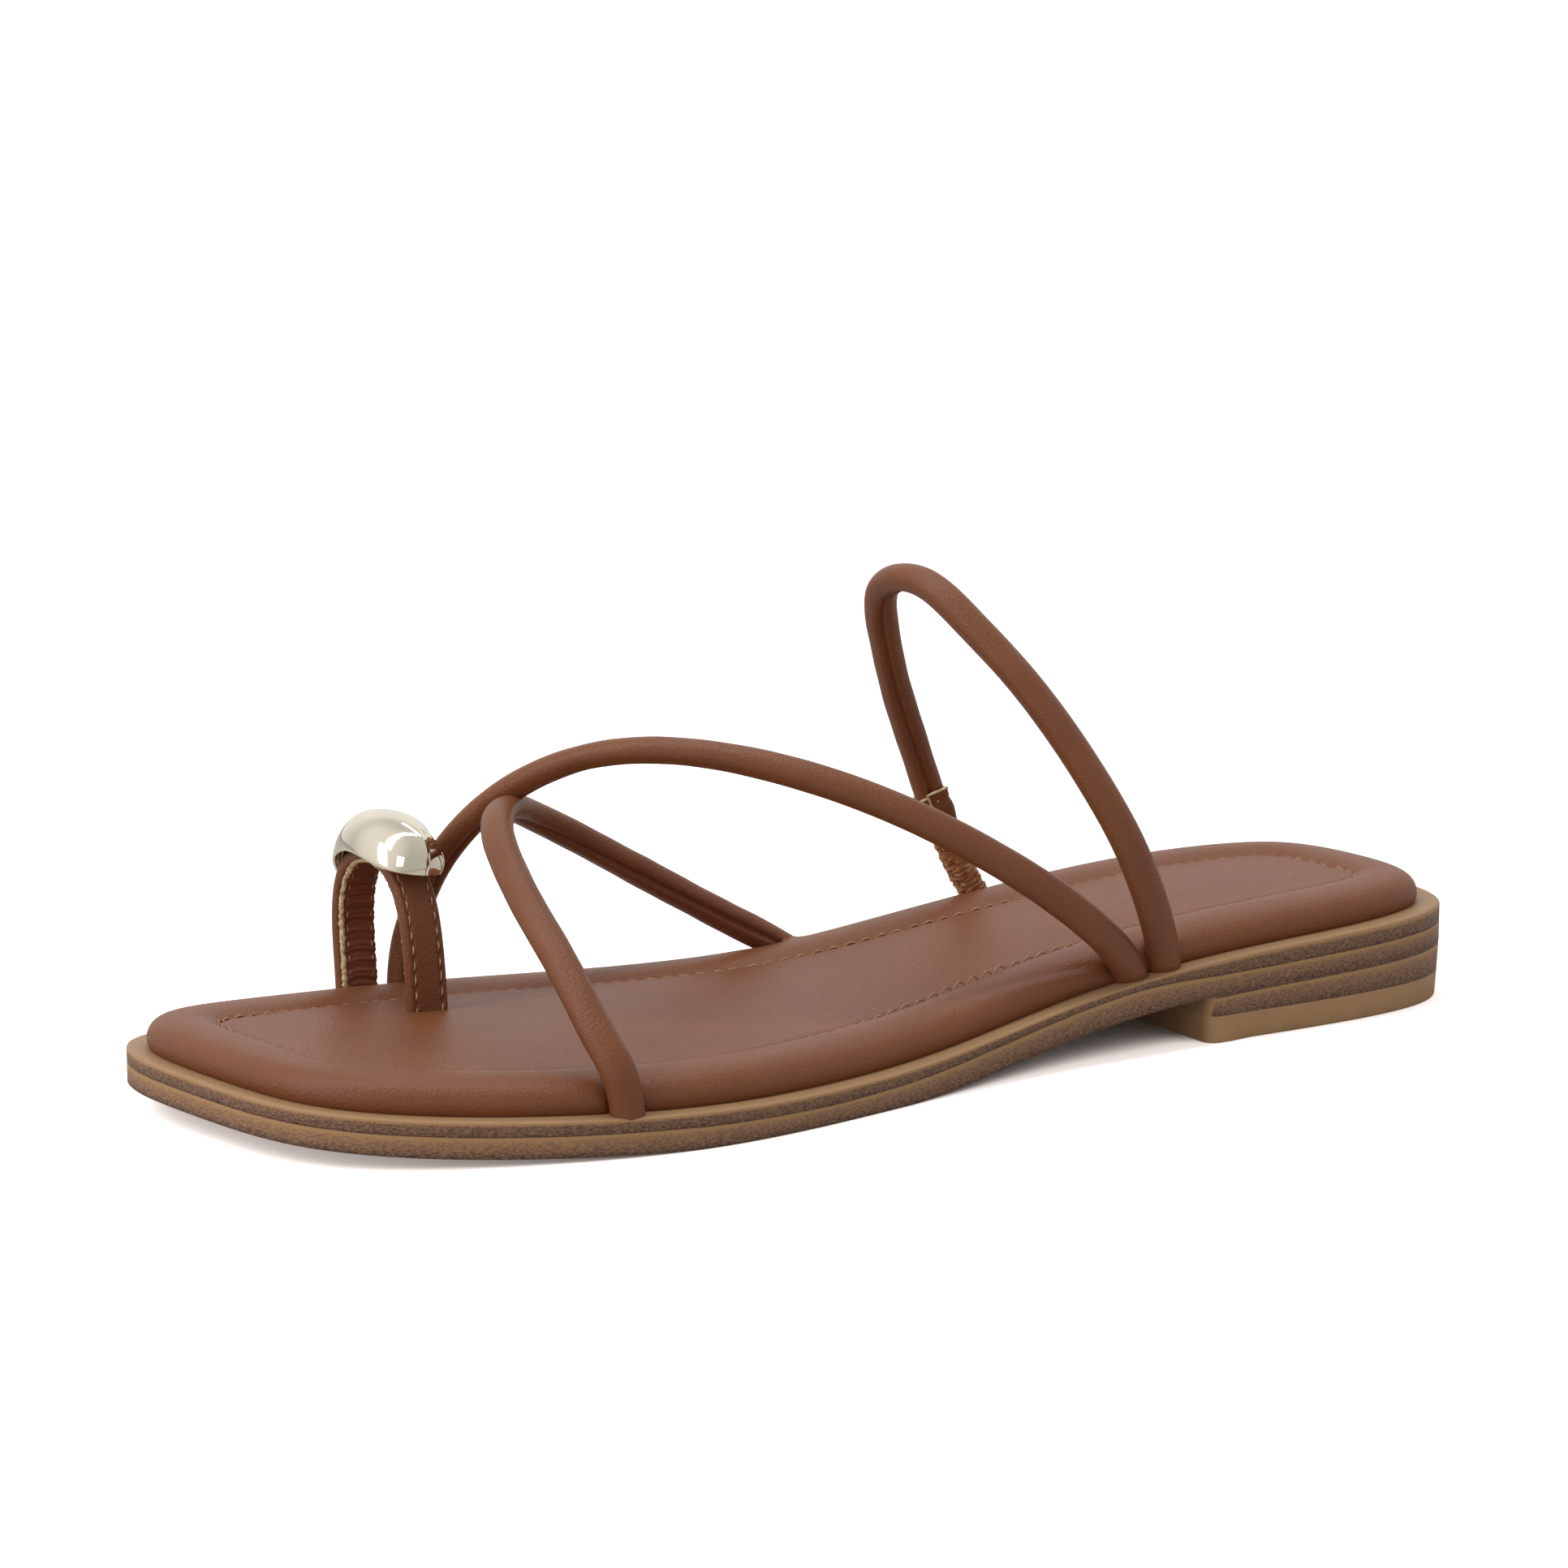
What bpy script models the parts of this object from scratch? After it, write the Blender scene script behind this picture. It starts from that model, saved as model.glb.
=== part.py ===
"""Strappy flat sandal for the left foot: layered sole, low heel, padded footbed, rolled cords and a toe loop.

The toe points to -Y, the lateral side is +X and the floor is z = 0. The tables are in millimetres: a station
is the distance forward from the back of the heel, an offset is the distance to the lateral side of the heel's
middle, and a height is above the floor.
"""
import math
from collections import namedtuple

import bmesh
import bpy
import numpy as np

MM = 0.001

# Driving dimensions, in millimetres
LENGTH = 252.0
GAP = 0.3
HEEL_FRONT = 64.5
HEEL_CORNER = 2.0
HEEL_TAPER = 0.6
LIFT_HEIGHT = 5.4
LEDGE = 3.5
CORD_WIDTH = 5.8
CORD_THICKNESS = 4.6
CORD_GROOVE = 0.8
CORD_STEP = 5.0
GORE_WIDTH = 5.4
GORE_THICKNESS = 4.0
GORE_EDGE = 1.2
GORE_STEP = 4.0
CUFF_WIDTH = 6.1
CUFF_THICKNESS = 5.5
CUFF_LENGTH = 6.5
CUFF_EDGE = 1.4
CUFF_PLACE = 156.5
LOOP_WIDTH = 7.7
LOOP_THICKNESS = 2.6
LOOP_EDGE = 0.7
LOOP_STEP = 4.0
TAB_SIZE = (3.2, 3.2, 3.2)
TAB_EDGE = 0.8
TRIM_MARGIN = 2.0
TRIM_DEPTH = 5.0
TOE_SPACE_HALF = 16.0

# Fineness of the faceted solids, and the shape of their curves
SIDE_POINTS = 72
CORNER_POINTS = 4
CORD_SIDES = 14
DOME_SIDES = 22
DOME_FULLNESS = 0.8
CURVE_SAMPLES = 4000
OUTLINE_TENSION = 0.5
SHARP_ANGLE = math.radians(35.0)

PlanPoint = namedtuple("PlanPoint", "station offset")
ProfileRow = namedtuple("ProfileRow", "station top thickness")
EdgeRow = namedtuple("EdgeRow", "depth inset")
RimRow = namedtuple("RimRow", "inset height")
RoutePoint = namedtuple("RoutePoint", "station offset height")
DomeRow = namedtuple("DomeRow", "offset middle half_length base top")
Axis = namedtuple("Axis", "offset height")

# Middle of the foot and of the big toe in cross-section, which the straps face away from
FOOT_AXIS = Axis(0.0, 16.0)
TOE_AXIS = Axis(-31.0, 22.0)

# Outline of the sole seen from above, from the back of the heel round the lateral side to the toe and back
PLAN = [
    PlanPoint(0.0, 0.0),
    PlanPoint(5.0, 23.5),
    PlanPoint(37.0, 32.5),
    PlanPoint(92.0, 34.5),
    PlanPoint(144.0, 44.5),
    PlanPoint(180.0, 49.0),
    PlanPoint(215.0, 42.0),
    PlanPoint(241.0, 27.0),
    PlanPoint(250.0, 3.0),
    PlanPoint(252.0, -21.5),
    PlanPoint(242.5, -35.5),
    PlanPoint(215.0, -44.0),
    PlanPoint(180.0, -45.0),
    PlanPoint(120.0, -35.5),
    PlanPoint(75.0, -31.5),
    PlanPoint(40.0, -32.0),
    PlanPoint(9.0, -23.5),
]

# Side view of the sole: height of its top and its thickness, with the arch and the toe spring
PROFILE = [
    ProfileRow(0.0, 18.0, 7.0),
    ProfileRow(30.0, 17.1, 7.0),
    ProfileRow(62.0, 15.4, 6.6),
    ProfileRow(95.0, 11.4, 6.3),
    ProfileRow(125.0, 7.1, 6.4),
    ProfileRow(150.0, 6.0, 6.4),
    ProfileRow(190.0, 6.8, 6.4),
    ProfileRow(225.0, 8.6, 6.4),
    ProfileRow(252.0, 11.1, 6.4),
]

# Side of the sole from top to bottom, as a share of its thickness: two bands with a groove between them
SOLE_EDGE = [
    EdgeRow(0.00, 0.3),
    EdgeRow(0.04, 0.0),
    EdgeRow(0.40, 0.0),
    EdgeRow(0.43, 0.4),
    EdgeRow(0.51, 0.4),
    EdgeRow(0.54, 0.0),
    EdgeRow(0.96, 0.0),
    EdgeRow(1.00, 0.3),
]

# Side of the heel block from top to bottom: a groove under the sole, then one band
HEEL_EDGE = [
    EdgeRow(0.00, 0.4),
    EdgeRow(0.22, 0.4),
    EdgeRow(0.30, 0.0),
    EdgeRow(1.00, 0.0),
]

# Half section of the footbed from its lower edge over the puffed rim to the seam and the inner panel
FOOTBED_RIM = [
    RimRow(1.2, 0.3),
    RimRow(0.3, 0.9),
    RimRow(0.0, 2.2),
    RimRow(0.8, 3.9),
    RimRow(2.6, 5.2),
    RimRow(5.0, 5.7),
    RimRow(8.4, 5.5),
    RimRow(11.0, 4.9),
    RimRow(12.3, 4.1),
    RimRow(13.4, 4.6),
    RimRow(15.0, 4.9),
]

# Middle line of the instep cord, from the lateral heel over the instep to the medial side behind the big toe
INSTEP_ROUTE = [
    RoutePoint(76.8, 30.2, 11.0),
    RoutePoint(79.8, 30.8, 15.6),
    RoutePoint(89.5, 32.0, 24.6),
    RoutePoint(99.0, 31.3, 32.0),
    RoutePoint(109.0, 28.7, 38.8),
    RoutePoint(120.0, 24.5, 45.4),
    RoutePoint(130.0, 19.7, 50.4),
    RoutePoint(140.5, 13.9, 54.5),
    RoutePoint(151.0, 7.2, 57.3),
    RoutePoint(162.0, -0.4, 58.3),
    RoutePoint(171.5, -8.4, 56.3),
    RoutePoint(179.8, -16.8, 50.8),
    RoutePoint(184.6, -27.0, 42.0),
    RoutePoint(186.6, -34.5, 33.8),
    RoutePoint(188.0, -39.8, 25.0),
    RoutePoint(189.1, -42.2, 17.3),
    RoutePoint(189.5, -42.6, 11.2),
    RoutePoint(189.5, -42.4, 4.5),
]

# Middle line of the vamp cord, from the lateral forefoot under the instep cord to the medial waist
VAMP_ROUTE = [
    RoutePoint(191.4, 45.2, 4.5),
    RoutePoint(192.2, 45.5, 10.0),
    RoutePoint(193.4, 44.8, 14.9),
    RoutePoint(194.5, 41.8, 19.0),
    RoutePoint(195.2, 35.5, 25.0),
    RoutePoint(195.4, 26.0, 32.2),
    RoutePoint(195.2, 18.0, 37.0),
    RoutePoint(193.8, 8.5, 41.7),
    RoutePoint(191.0, -1.5, 45.7),
    RoutePoint(187.0, -9.0, 47.4),
    RoutePoint(180.2, -17.5, 47.0),
    RoutePoint(173.5, -23.7, 44.2),
    RoutePoint(163.5, -28.2, 39.0),
    RoutePoint(149.5, -31.0, 31.0),
    RoutePoint(134.8, -32.0, 22.4),
    RoutePoint(125.3, -32.2, 16.9),
    RoutePoint(117.8, -32.4, 12.5),
    RoutePoint(110.5, -32.0, 7.0),
]

# Middle line of the ankle strap and its elastic, from the lateral heel over the ankle to the medial heel
ANKLE_ROUTE = [
    RoutePoint(69.6, 29.8, 10.5),
    RoutePoint(71.0, 30.3, 15.5),
    RoutePoint(76.2, 32.7, 27.0),
    RoutePoint(81.8, 32.6, 39.0),
    RoutePoint(86.9, 30.0, 49.3),
    RoutePoint(92.4, 25.3, 60.2),
    RoutePoint(97.7, 19.2, 69.9),
    RoutePoint(102.6, 11.7, 78.1),
    RoutePoint(106.8, 2.0, 84.0),
    RoutePoint(107.4, -9.8, 81.8),
    RoutePoint(103.2, -16.7, 71.5),
    RoutePoint(98.1, -20.7, 60.5),
    RoutePoint(92.2, -23.7, 48.6),
    RoutePoint(86.7, -25.6, 38.5),
    RoutePoint(79.2, -27.7, 25.3),
    RoutePoint(74.4, -28.8, 17.2),
    RoutePoint(71.2, -29.0, 11.0),
]

# Middle line of the flat toe loop, from its slot in the inner panel over the big toe to the medial edge
LOOP_ROUTE = [
    RoutePoint(196.6, -18.2, 8.6),
    RoutePoint(196.8, -18.1, 12.2),
    RoutePoint(197.0, -18.3, 18.5),
    RoutePoint(197.3, -19.0, 25.8),
    RoutePoint(197.6, -20.6, 31.6),
    RoutePoint(198.1, -24.0, 36.3),
    RoutePoint(198.6, -30.5, 38.6),
    RoutePoint(198.8, -37.5, 36.8),
    RoutePoint(198.8, -42.2, 31.6),
    RoutePoint(198.7, -43.9, 23.0),
    RoutePoint(198.6, -43.4, 15.0),
    RoutePoint(198.5, -42.9, 4.5),
]

# Domed ornament across the top of the toe loop, from its medial end to its lateral end
ORNAMENT_DOME = [
    DomeRow(-44.2, 199.0, 1.4, 33.6, 34.8),
    DomeRow(-43.4, 199.0, 2.8, 33.4, 37.2),
    DomeRow(-41.0, 199.0, 4.9, 33.5, 41.4),
    DomeRow(-36.5, 199.0, 7.0, 34.0, 44.9),
    DomeRow(-31.0, 198.9, 8.0, 35.0, 46.2),
    DomeRow(-26.0, 198.5, 7.7, 35.8, 45.8),
    DomeRow(-21.5, 197.6, 6.1, 36.5, 43.8),
    DomeRow(-18.6, 196.8, 4.1, 36.9, 40.8),
    DomeRow(-17.6, 196.5, 1.9, 37.2, 38.6),
]

# Middle of the leather filler in the ornament's open end
TAB_PLACE = RoutePoint(194.2, -20.2, 40.3)


def spline(knots, values, closed=False):
    """Cubic curve through values at rising knots: natural at its ends, or closed on itself."""
    knots = np.asarray(knots, float)
    values = np.asarray(values, float)
    steps = np.diff(knots)
    count = len(knots) - 1 if closed else len(knots)
    slopes = np.diff(values, axis=0) / steps.reshape([-1] + [1] * (values.ndim - 1))
    matrix = np.zeros((count, count))
    right = np.zeros((count,) + values.shape[1:])
    for row in range(count):
        if not closed and row in (0, count - 1):
            matrix[row, row] = 1.0
            continue
        before, after = steps[row - 1], steps[row]
        matrix[row, (row - 1) % count] += before
        matrix[row, row] += 2.0 * (before + after)
        matrix[row, (row + 1) % count] += after
        right[row] = 6.0 * (slopes[row] - slopes[row - 1])
    bend = np.linalg.solve(matrix, right)
    if closed:
        bend = np.concatenate([bend, bend[:1]])

    def curve(place):
        place = np.asarray(place, float)
        span = np.clip(np.searchsorted(knots, place, side="right") - 1, 0, len(steps) - 1)
        size = steps[span]
        near = (knots[span + 1] - place) / size
        far = (place - knots[span]) / size
        if values.ndim > 1:
            near, far, size = near[:, None], far[:, None], size[:, None]
        ends = near * values[span] + far * values[span + 1]
        arch = (near ** 3 - near) * bend[span] + (far ** 3 - far) * bend[span + 1]
        return ends + arch * size ** 2 / 6.0

    return curve


def route_curve(points, power=1.0, closed=False):
    """Smooth curve through points, with knots from their spacing. Returns the curve and its knots."""
    points = np.asarray(points, float)
    if closed:
        points = np.vstack([points, points[:1]])
    chords = np.linalg.norm(np.diff(points, axis=0), axis=1) ** power
    knots = np.concatenate([[0.0], np.cumsum(chords)])
    return spline(knots, points, closed), knots


def evenly(line, count=None, step=None, start=0.0, end=None):
    """Points at equal distances along a finely drawn line: a count of them, or about one step apart."""
    along = np.concatenate([[0.0], np.cumsum(np.linalg.norm(np.diff(line, axis=0), axis=1))])
    end = along[-1] if end is None else end
    count = count or max(3, round((end - start) / step) + 1)
    marks = np.linspace(start, end, count)
    return np.stack([np.interp(marks, along, column) for column in line.T], axis=1)


def profile(column):
    """Curve of one column of the sole's side view against the station."""
    curve = spline([row.station for row in PROFILE], [getattr(row, column) for row in PROFILE])
    return lambda station: curve(np.clip(station, 0.0, LENGTH))


sole_top = profile("top")
sole_thickness = profile("thickness")


def sole_bottom(station):
    """Underside of the sole, pressed flat where it meets the floor."""
    return np.maximum(sole_top(station) - sole_thickness(station), 0.0)


def sole_outline():
    """Edge points of the sole and their outward normals, from the heel by the lateral side to toe and back.

    Each half has the same number of points, so that a point and its mirror image in the list face each other.
    """
    curve, knots = route_curve(PLAN, OUTLINE_TENSION, closed=True)
    line = curve(np.linspace(0.0, knots[-1], CURVE_SAMPLES + 1))[:-1]
    line = np.roll(line, -line[:, 0].argmin(), axis=0)
    toe = line[:, 0].argmax()
    lateral = evenly(line[:toe + 1], SIDE_POINTS + 1)
    medial = evenly(np.vstack([line[toe:], line[:1]]), SIDE_POINTS + 1)
    points = np.vstack([lateral[:-1], medial[:-1]])
    tangents = np.roll(points, -1, axis=0) - np.roll(points, 1, axis=0)
    normals = np.stack([-tangents[:, 1], tangents[:, 0]], axis=1)
    normals /= np.linalg.norm(normals, axis=1)[:, None]
    return points, normals


EDGE, EDGE_NORMAL = sole_outline()
CENTRE_STATION, CENTRE_OFFSET = 0.5 * (EDGE.max(axis=0) + EDGE.min(axis=0))


def place(rows):
    """Stations, offsets and heights in millimetres, as points of the part in metres."""
    rows = np.asarray(rows, float)
    return np.stack([rows[:, 1] - CENTRE_OFFSET, CENTRE_STATION - rows[:, 0], rows[:, 2]], axis=1) * MM


def inset_edge(inset):
    """Outline of the sole moved in by a distance."""
    return EDGE - EDGE_NORMAL * inset


def loop_at(outline, heights):
    """Closed loop of stations, offsets and heights."""
    return np.column_stack([outline, heights])


def material(name, colour, roughness, metallic=0.0):
    """Principled material with one colour."""
    finish = bpy.data.materials.new(name)
    finish.use_nodes = True
    shader = finish.node_tree.nodes["Principled BSDF"]
    shader.inputs["Base Color"].default_value = (*colour, 1.0)
    shader.inputs["Roughness"].default_value = roughness
    shader.inputs["Metallic"].default_value = metallic
    return finish


def new_object(name, mesh_data, finish=None):
    """Object of a bmesh, with its faces turned outwards and shaded smooth."""
    bmesh.ops.recalc_face_normals(mesh_data, faces=mesh_data.faces)
    mesh = bpy.data.meshes.new(name)
    mesh_data.to_mesh(mesh)
    mesh_data.free()
    mesh.shade_smooth()
    mesh.set_sharp_from_angle(angle=SHARP_ANGLE)
    thing = bpy.data.objects.new(name, mesh)
    bpy.context.scene.collection.objects.link(thing)
    if finish:
        mesh.materials.append(finish)
    return thing


def ladder(mesh_data, loop):
    """Faces across a closed loop, between each point and the one that faces it."""
    count = len(loop)
    for index in range(count // 2):
        corners = [loop[index], loop[index + 1], loop[count - index - 1], loop[-index % count]]
        unique = list(dict.fromkeys(corners))
        if len(unique) > 2:
            mesh_data.faces.new(unique)


def lid(mesh_data, loop):
    """One face that closes a loop."""
    mesh_data.faces.new(loop)


def bridge(mesh_data, rings, close=lid):
    """Faces between rings of the same number of points, with the first and the last ring closed."""
    for first, second in zip(rings, rings[1:]):
        for index in range(len(first)):
            following = (index + 1) % len(first)
            mesh_data.faces.new([first[index], first[following], second[following], second[index]])
    close(mesh_data, rings[0])
    close(mesh_data, rings[-1])


def stacked_solid(name, loops, finish=None):
    """Closed solid through loops of stations, offsets and heights that have the same number of points."""
    mesh_data = bmesh.new()
    rings = [[mesh_data.verts.new(point) for point in place(loop)] for loop in loops]
    bridge(mesh_data, rings, ladder)
    return new_object(name, mesh_data, finish)


def guide(thing):
    """Marks an object that only cuts or joins others."""
    thing.hide_render = True
    thing.display_type = "WIRE"
    return thing


def combine(target, other, operation):
    """Joins another solid to the target, or cuts it out of the target."""
    modifier = target.modifiers.new(operation.lower(), "BOOLEAN")
    modifier.operation = operation
    modifier.solver = "EXACT"
    modifier.object = other


def route_points(route, step, start=0.0, end=None):
    """Points about one step apart along a route, between two distances from its start."""
    curve, knots = route_curve(route)
    line = curve(np.linspace(0.0, knots[-1], CURVE_SAMPLES))
    return evenly(line, step=step, start=start, end=end)


def sweep_frames(points, axis):
    """Unit directions across a strap and out from what it goes round, at each point of its route."""
    tangents = np.gradient(points, axis=0)
    tangents /= np.linalg.norm(tangents, axis=1)[:, None]
    outward = points - np.column_stack([points[:, 0], np.full((len(points), 2), axis)])
    outward -= tangents * (outward * tangents).sum(axis=1)[:, None]
    outward /= np.linalg.norm(outward, axis=1)[:, None]
    return np.cross(tangents, outward), outward


def swept_solid(name, points, frames, section, finish=None):
    """Closed strap: a section, given as distances across and out, carried along the points of a route."""
    across, outward = frames
    mesh_data = bmesh.new()
    rings = []
    for point, side, out in zip(points, across, outward):
        ring = [point + side * corner[0] + out * corner[1] for corner in section]
        rings.append([mesh_data.verts.new(spot) for spot in place(ring)])
    bridge(mesh_data, rings)
    return new_object(name, mesh_data, finish)


def cord_section(grow=0.0):
    """Oval of the rolled cord, with the groove of its closed seam on the side of the foot."""
    corners = []
    for index in range(CORD_SIDES):
        angle = 2.0 * math.pi * index / CORD_SIDES - 0.5 * math.pi
        groove = CORD_GROOVE if index == 0 and grow == 0.0 else 0.0
        half_thickness = 0.5 * CORD_THICKNESS + grow - groove
        corners.append(((0.5 * CORD_WIDTH + grow) * math.cos(angle), half_thickness * math.sin(angle)))
    return corners


def band_section(width, thickness, edge):
    """Flat strap section with its four edges taken off."""
    half_width, half_thickness = 0.5 * width, 0.5 * thickness
    return [
        (half_width, half_thickness - edge),
        (half_width - edge, half_thickness),
        (edge - half_width, half_thickness),
        (-half_width, half_thickness - edge),
        (-half_width, edge - half_thickness),
        (edge - half_width, -half_thickness),
        (half_width - edge, -half_thickness),
        (half_width, edge - half_thickness),
    ]


def make_outsole(finish):
    """Sole with vertical sides that follow its outline, a groove between its two bands and a flat tread."""
    loops = []
    for row in SOLE_EDGE:
        outline = inset_edge(row.inset)
        top, bottom = sole_top(outline[:, 0]), sole_bottom(outline[:, 0])
        loops.append(loop_at(outline, top + (bottom - top) * row.depth))
    return stacked_solid("outsole", loops, finish)


def make_floor_cutter():
    """Everything below the top of the sole and its clearance, for trimming the straps."""
    outline = inset_edge(-TRIM_MARGIN)
    bottom = loop_at(outline, np.full(len(outline), -TRIM_DEPTH))
    top = loop_at(outline, sole_top(outline[:, 0]) + GAP)
    return guide(stacked_solid("strap_trim", [bottom, top]))


def heel_outline(inset):
    """Back part of the sole's outline, closed by the straight heel breast with rounded corners."""
    outline = inset_edge(inset)
    front = HEEL_FRONT - inset - HEEL_CORNER
    half = np.arange(len(outline) // 2)
    sides = []
    for order in (half, -half):
        kept = order[EDGE[order, 0] < HEEL_FRONT - 2.0 * HEEL_CORNER]
        edge = np.interp(front, outline[order, 0], outline[order, 1])
        turn = math.copysign(HEEL_CORNER, edge)
        angles = np.linspace(0.0, 0.5 * math.pi, CORNER_POINTS)
        stations = front + HEEL_CORNER * np.sin(angles)
        corner = np.column_stack([stations, edge - turn * (1.0 - np.cos(angles))])
        sides.append(np.vstack([outline[kept], corner]))
    lateral, medial = sides
    return np.vstack([lateral, medial[:0:-1]])


def make_heel_block(finish):
    """Heel wedge between the sole and the top lift, with a groove along its upper edge."""
    loops = []
    for row in HEEL_EDGE:
        outline = heel_outline(row.inset + HEEL_TAPER * 0.5 * row.depth)
        top = sole_bottom(outline[:, 0]) - GAP
        loops.append(loop_at(outline, top + (LIFT_HEIGHT + GAP - top) * row.depth))
    return stacked_solid("heel_block", loops, finish)


def make_top_lift(finish):
    """Flat wearing layer of the heel."""
    upper, lower = heel_outline(0.5 * HEEL_TAPER), heel_outline(HEEL_TAPER)
    loops = [
        loop_at(upper, np.full(len(upper), LIFT_HEIGHT)),
        loop_at(lower, np.zeros(len(lower))),
    ]
    return stacked_solid("top_lift", loops, finish)


def make_footbed(finish):
    """Padded footbed: puffed rim, sewn seam and soft inner panel."""
    loops = []
    for row in FOOTBED_RIM:
        outline = inset_edge(LEDGE + row.inset)
        loops.append(loop_at(outline, sole_top(outline[:, 0]) + row.height))
    return stacked_solid("footbed", loops, finish)


def make_strap(name, points, axis, section, finish, wide_section):
    """Strap along points of a route, and the wider solid that makes room for it."""
    frames = sweep_frames(points, axis)
    strap = swept_solid(name, points, frames, section, finish)
    return strap, guide(swept_solid(name + "_room", points, frames, wide_section))


def make_cord(name, route, finish, end=None):
    """Rolled cord along a route, or as far as a distance along it."""
    points = route_points(route, CORD_STEP, 0.0, end)
    return make_strap(name, points, FOOT_AXIS, cord_section(), finish, cord_section(GAP))


def make_band(name, points, axis, size, finish):
    """Flat strap of a width, a thickness and an edge along points of a route."""
    width, thickness, edge = size
    wide = band_section(width + 2.0 * GAP, thickness + 2.0 * GAP, edge)
    return make_strap(name, points, axis, band_section(width, thickness, edge), finish, wide)


def make_toe_space(points):
    """The toe loop and all that it goes round, from well in front of the ornament to well behind it."""
    outward = sweep_frames(points, TOE_AXIS)[1]
    around = points + outward * (0.5 * LOOP_THICKNESS + GAP)
    mesh_data = bmesh.new()
    rings = []
    for reach in (-TOE_SPACE_HALF, TOE_SPACE_HALF):
        ring = around + np.array([reach, 0.0, 0.0])
        rings.append([mesh_data.verts.new(spot) for spot in place(ring)])
    bridge(mesh_data, rings)
    return guide(new_object("toe_space", mesh_data))


def make_ornament(finish):
    """Domed ornament before the toe loop is cut out of it."""
    mesh_data = bmesh.new()
    rings = []
    angles = np.linspace(0.0, math.pi, DOME_SIDES)
    for row in ORNAMENT_DOME:
        stations = row.middle - row.half_length * np.cos(angles)
        heights = row.base + (row.top - row.base) * np.abs(np.sin(angles)) ** DOME_FULLNESS
        ring = np.column_stack([stations, np.full(DOME_SIDES, row.offset), heights])
        rings.append([mesh_data.verts.new(spot) for spot in place(ring)])
    bridge(mesh_data, rings)
    return new_object("toe_ornament", mesh_data, finish)


def make_tab(name, grow, finish=None):
    """Block of leather filler with its edges taken off."""
    mesh_data = bmesh.new()
    bmesh.ops.create_cube(mesh_data, size=1.0)
    sizes = [(side + 2.0 * grow) * MM for side in TAB_SIZE]
    bmesh.ops.scale(mesh_data, vec=sizes, verts=mesh_data.verts)
    bmesh.ops.bevel(mesh_data, geom=mesh_data.edges, offset=TAB_EDGE * MM, segments=1, profile=0.5,
                    affect="EDGES", material=-1)
    bmesh.ops.translate(mesh_data, vec=place([TAB_PLACE])[0], verts=mesh_data.verts)
    return new_object(name, mesh_data, finish)


def main():
    """Builds the sandal."""
    for thing in list(bpy.data.objects):
        bpy.data.objects.remove(thing, do_unlink=True)
    leather = material("brown_leather", (0.19, 0.075, 0.035), 0.45)
    layered = material("layered_sole", (0.12, 0.08, 0.06), 0.7)
    lift_rubber = material("tan_lift", (0.25, 0.17, 0.09), 0.65)
    elastic = material("gathered_elastic", (0.16, 0.065, 0.025), 0.8)
    gilt = material("pale_gilt", (0.78, 0.72, 0.58), 0.18, metallic=1.0)

    make_outsole(layered)
    make_heel_block(layered)
    make_top_lift(lift_rubber)
    footbed = make_footbed(leather)
    trim = make_floor_cutter()

    instep, instep_room = make_cord("instep_straps", INSTEP_ROUTE, leather)
    vamp, vamp_room = make_cord("vamp_cord", VAMP_ROUTE, leather)
    combine(instep, guide(vamp), "UNION")
    cuff_end = CUFF_PLACE + CUFF_LENGTH
    ankle, ankle_room = make_cord("ankle_strap", ANKLE_ROUTE, leather, CUFF_PLACE - GAP)
    cuff_points = route_points(ANKLE_ROUTE, 0.5 * CUFF_LENGTH, CUFF_PLACE, cuff_end)
    cuff_size = (CUFF_WIDTH, CUFF_THICKNESS, CUFF_EDGE)
    make_band("strap_cuff", cuff_points, FOOT_AXIS, cuff_size, leather)
    gore_points = route_points(ANKLE_ROUTE, GORE_STEP, cuff_end + GAP)
    gore_size = (GORE_WIDTH, GORE_THICKNESS, GORE_EDGE)
    gore, gore_room = make_band("elastic_gore", gore_points, FOOT_AXIS, gore_size, elastic)
    loop_points = route_points(LOOP_ROUTE, LOOP_STEP)
    loop_size = (LOOP_WIDTH, LOOP_THICKNESS, LOOP_EDGE)
    loop, loop_room = make_band("toe_loop", loop_points, TOE_AXIS, loop_size, leather)
    for strap in (instep, ankle, gore, loop):
        combine(strap, trim, "DIFFERENCE")
    for room in (instep_room, vamp_room, ankle_room, gore_room, loop_room):
        combine(footbed, room, "DIFFERENCE")

    ornament = make_ornament(gilt)
    make_tab("ornament_tab", 0.0, leather)
    tab_room = guide(make_tab("tab_room", GAP))
    for room in (make_toe_space(loop_points), tab_room):
        combine(ornament, room, "DIFFERENCE")


main()
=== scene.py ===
"""Looks of a strappy flat sandal for the left foot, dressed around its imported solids.

Tables are in millimetres: a station is the distance forward from the back of the heel, an offset is the
distance to the lateral side of the heel's middle, and a height is above the floor.
"""
import logging
import math
from collections.abc import Callable, Sequence
from dataclasses import dataclass, field
from enum import Enum
from typing import Any, NamedTuple, TypeVar

import bmesh
import bpy
import numpy as np
from mathutils import Matrix, Vector, noise


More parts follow.
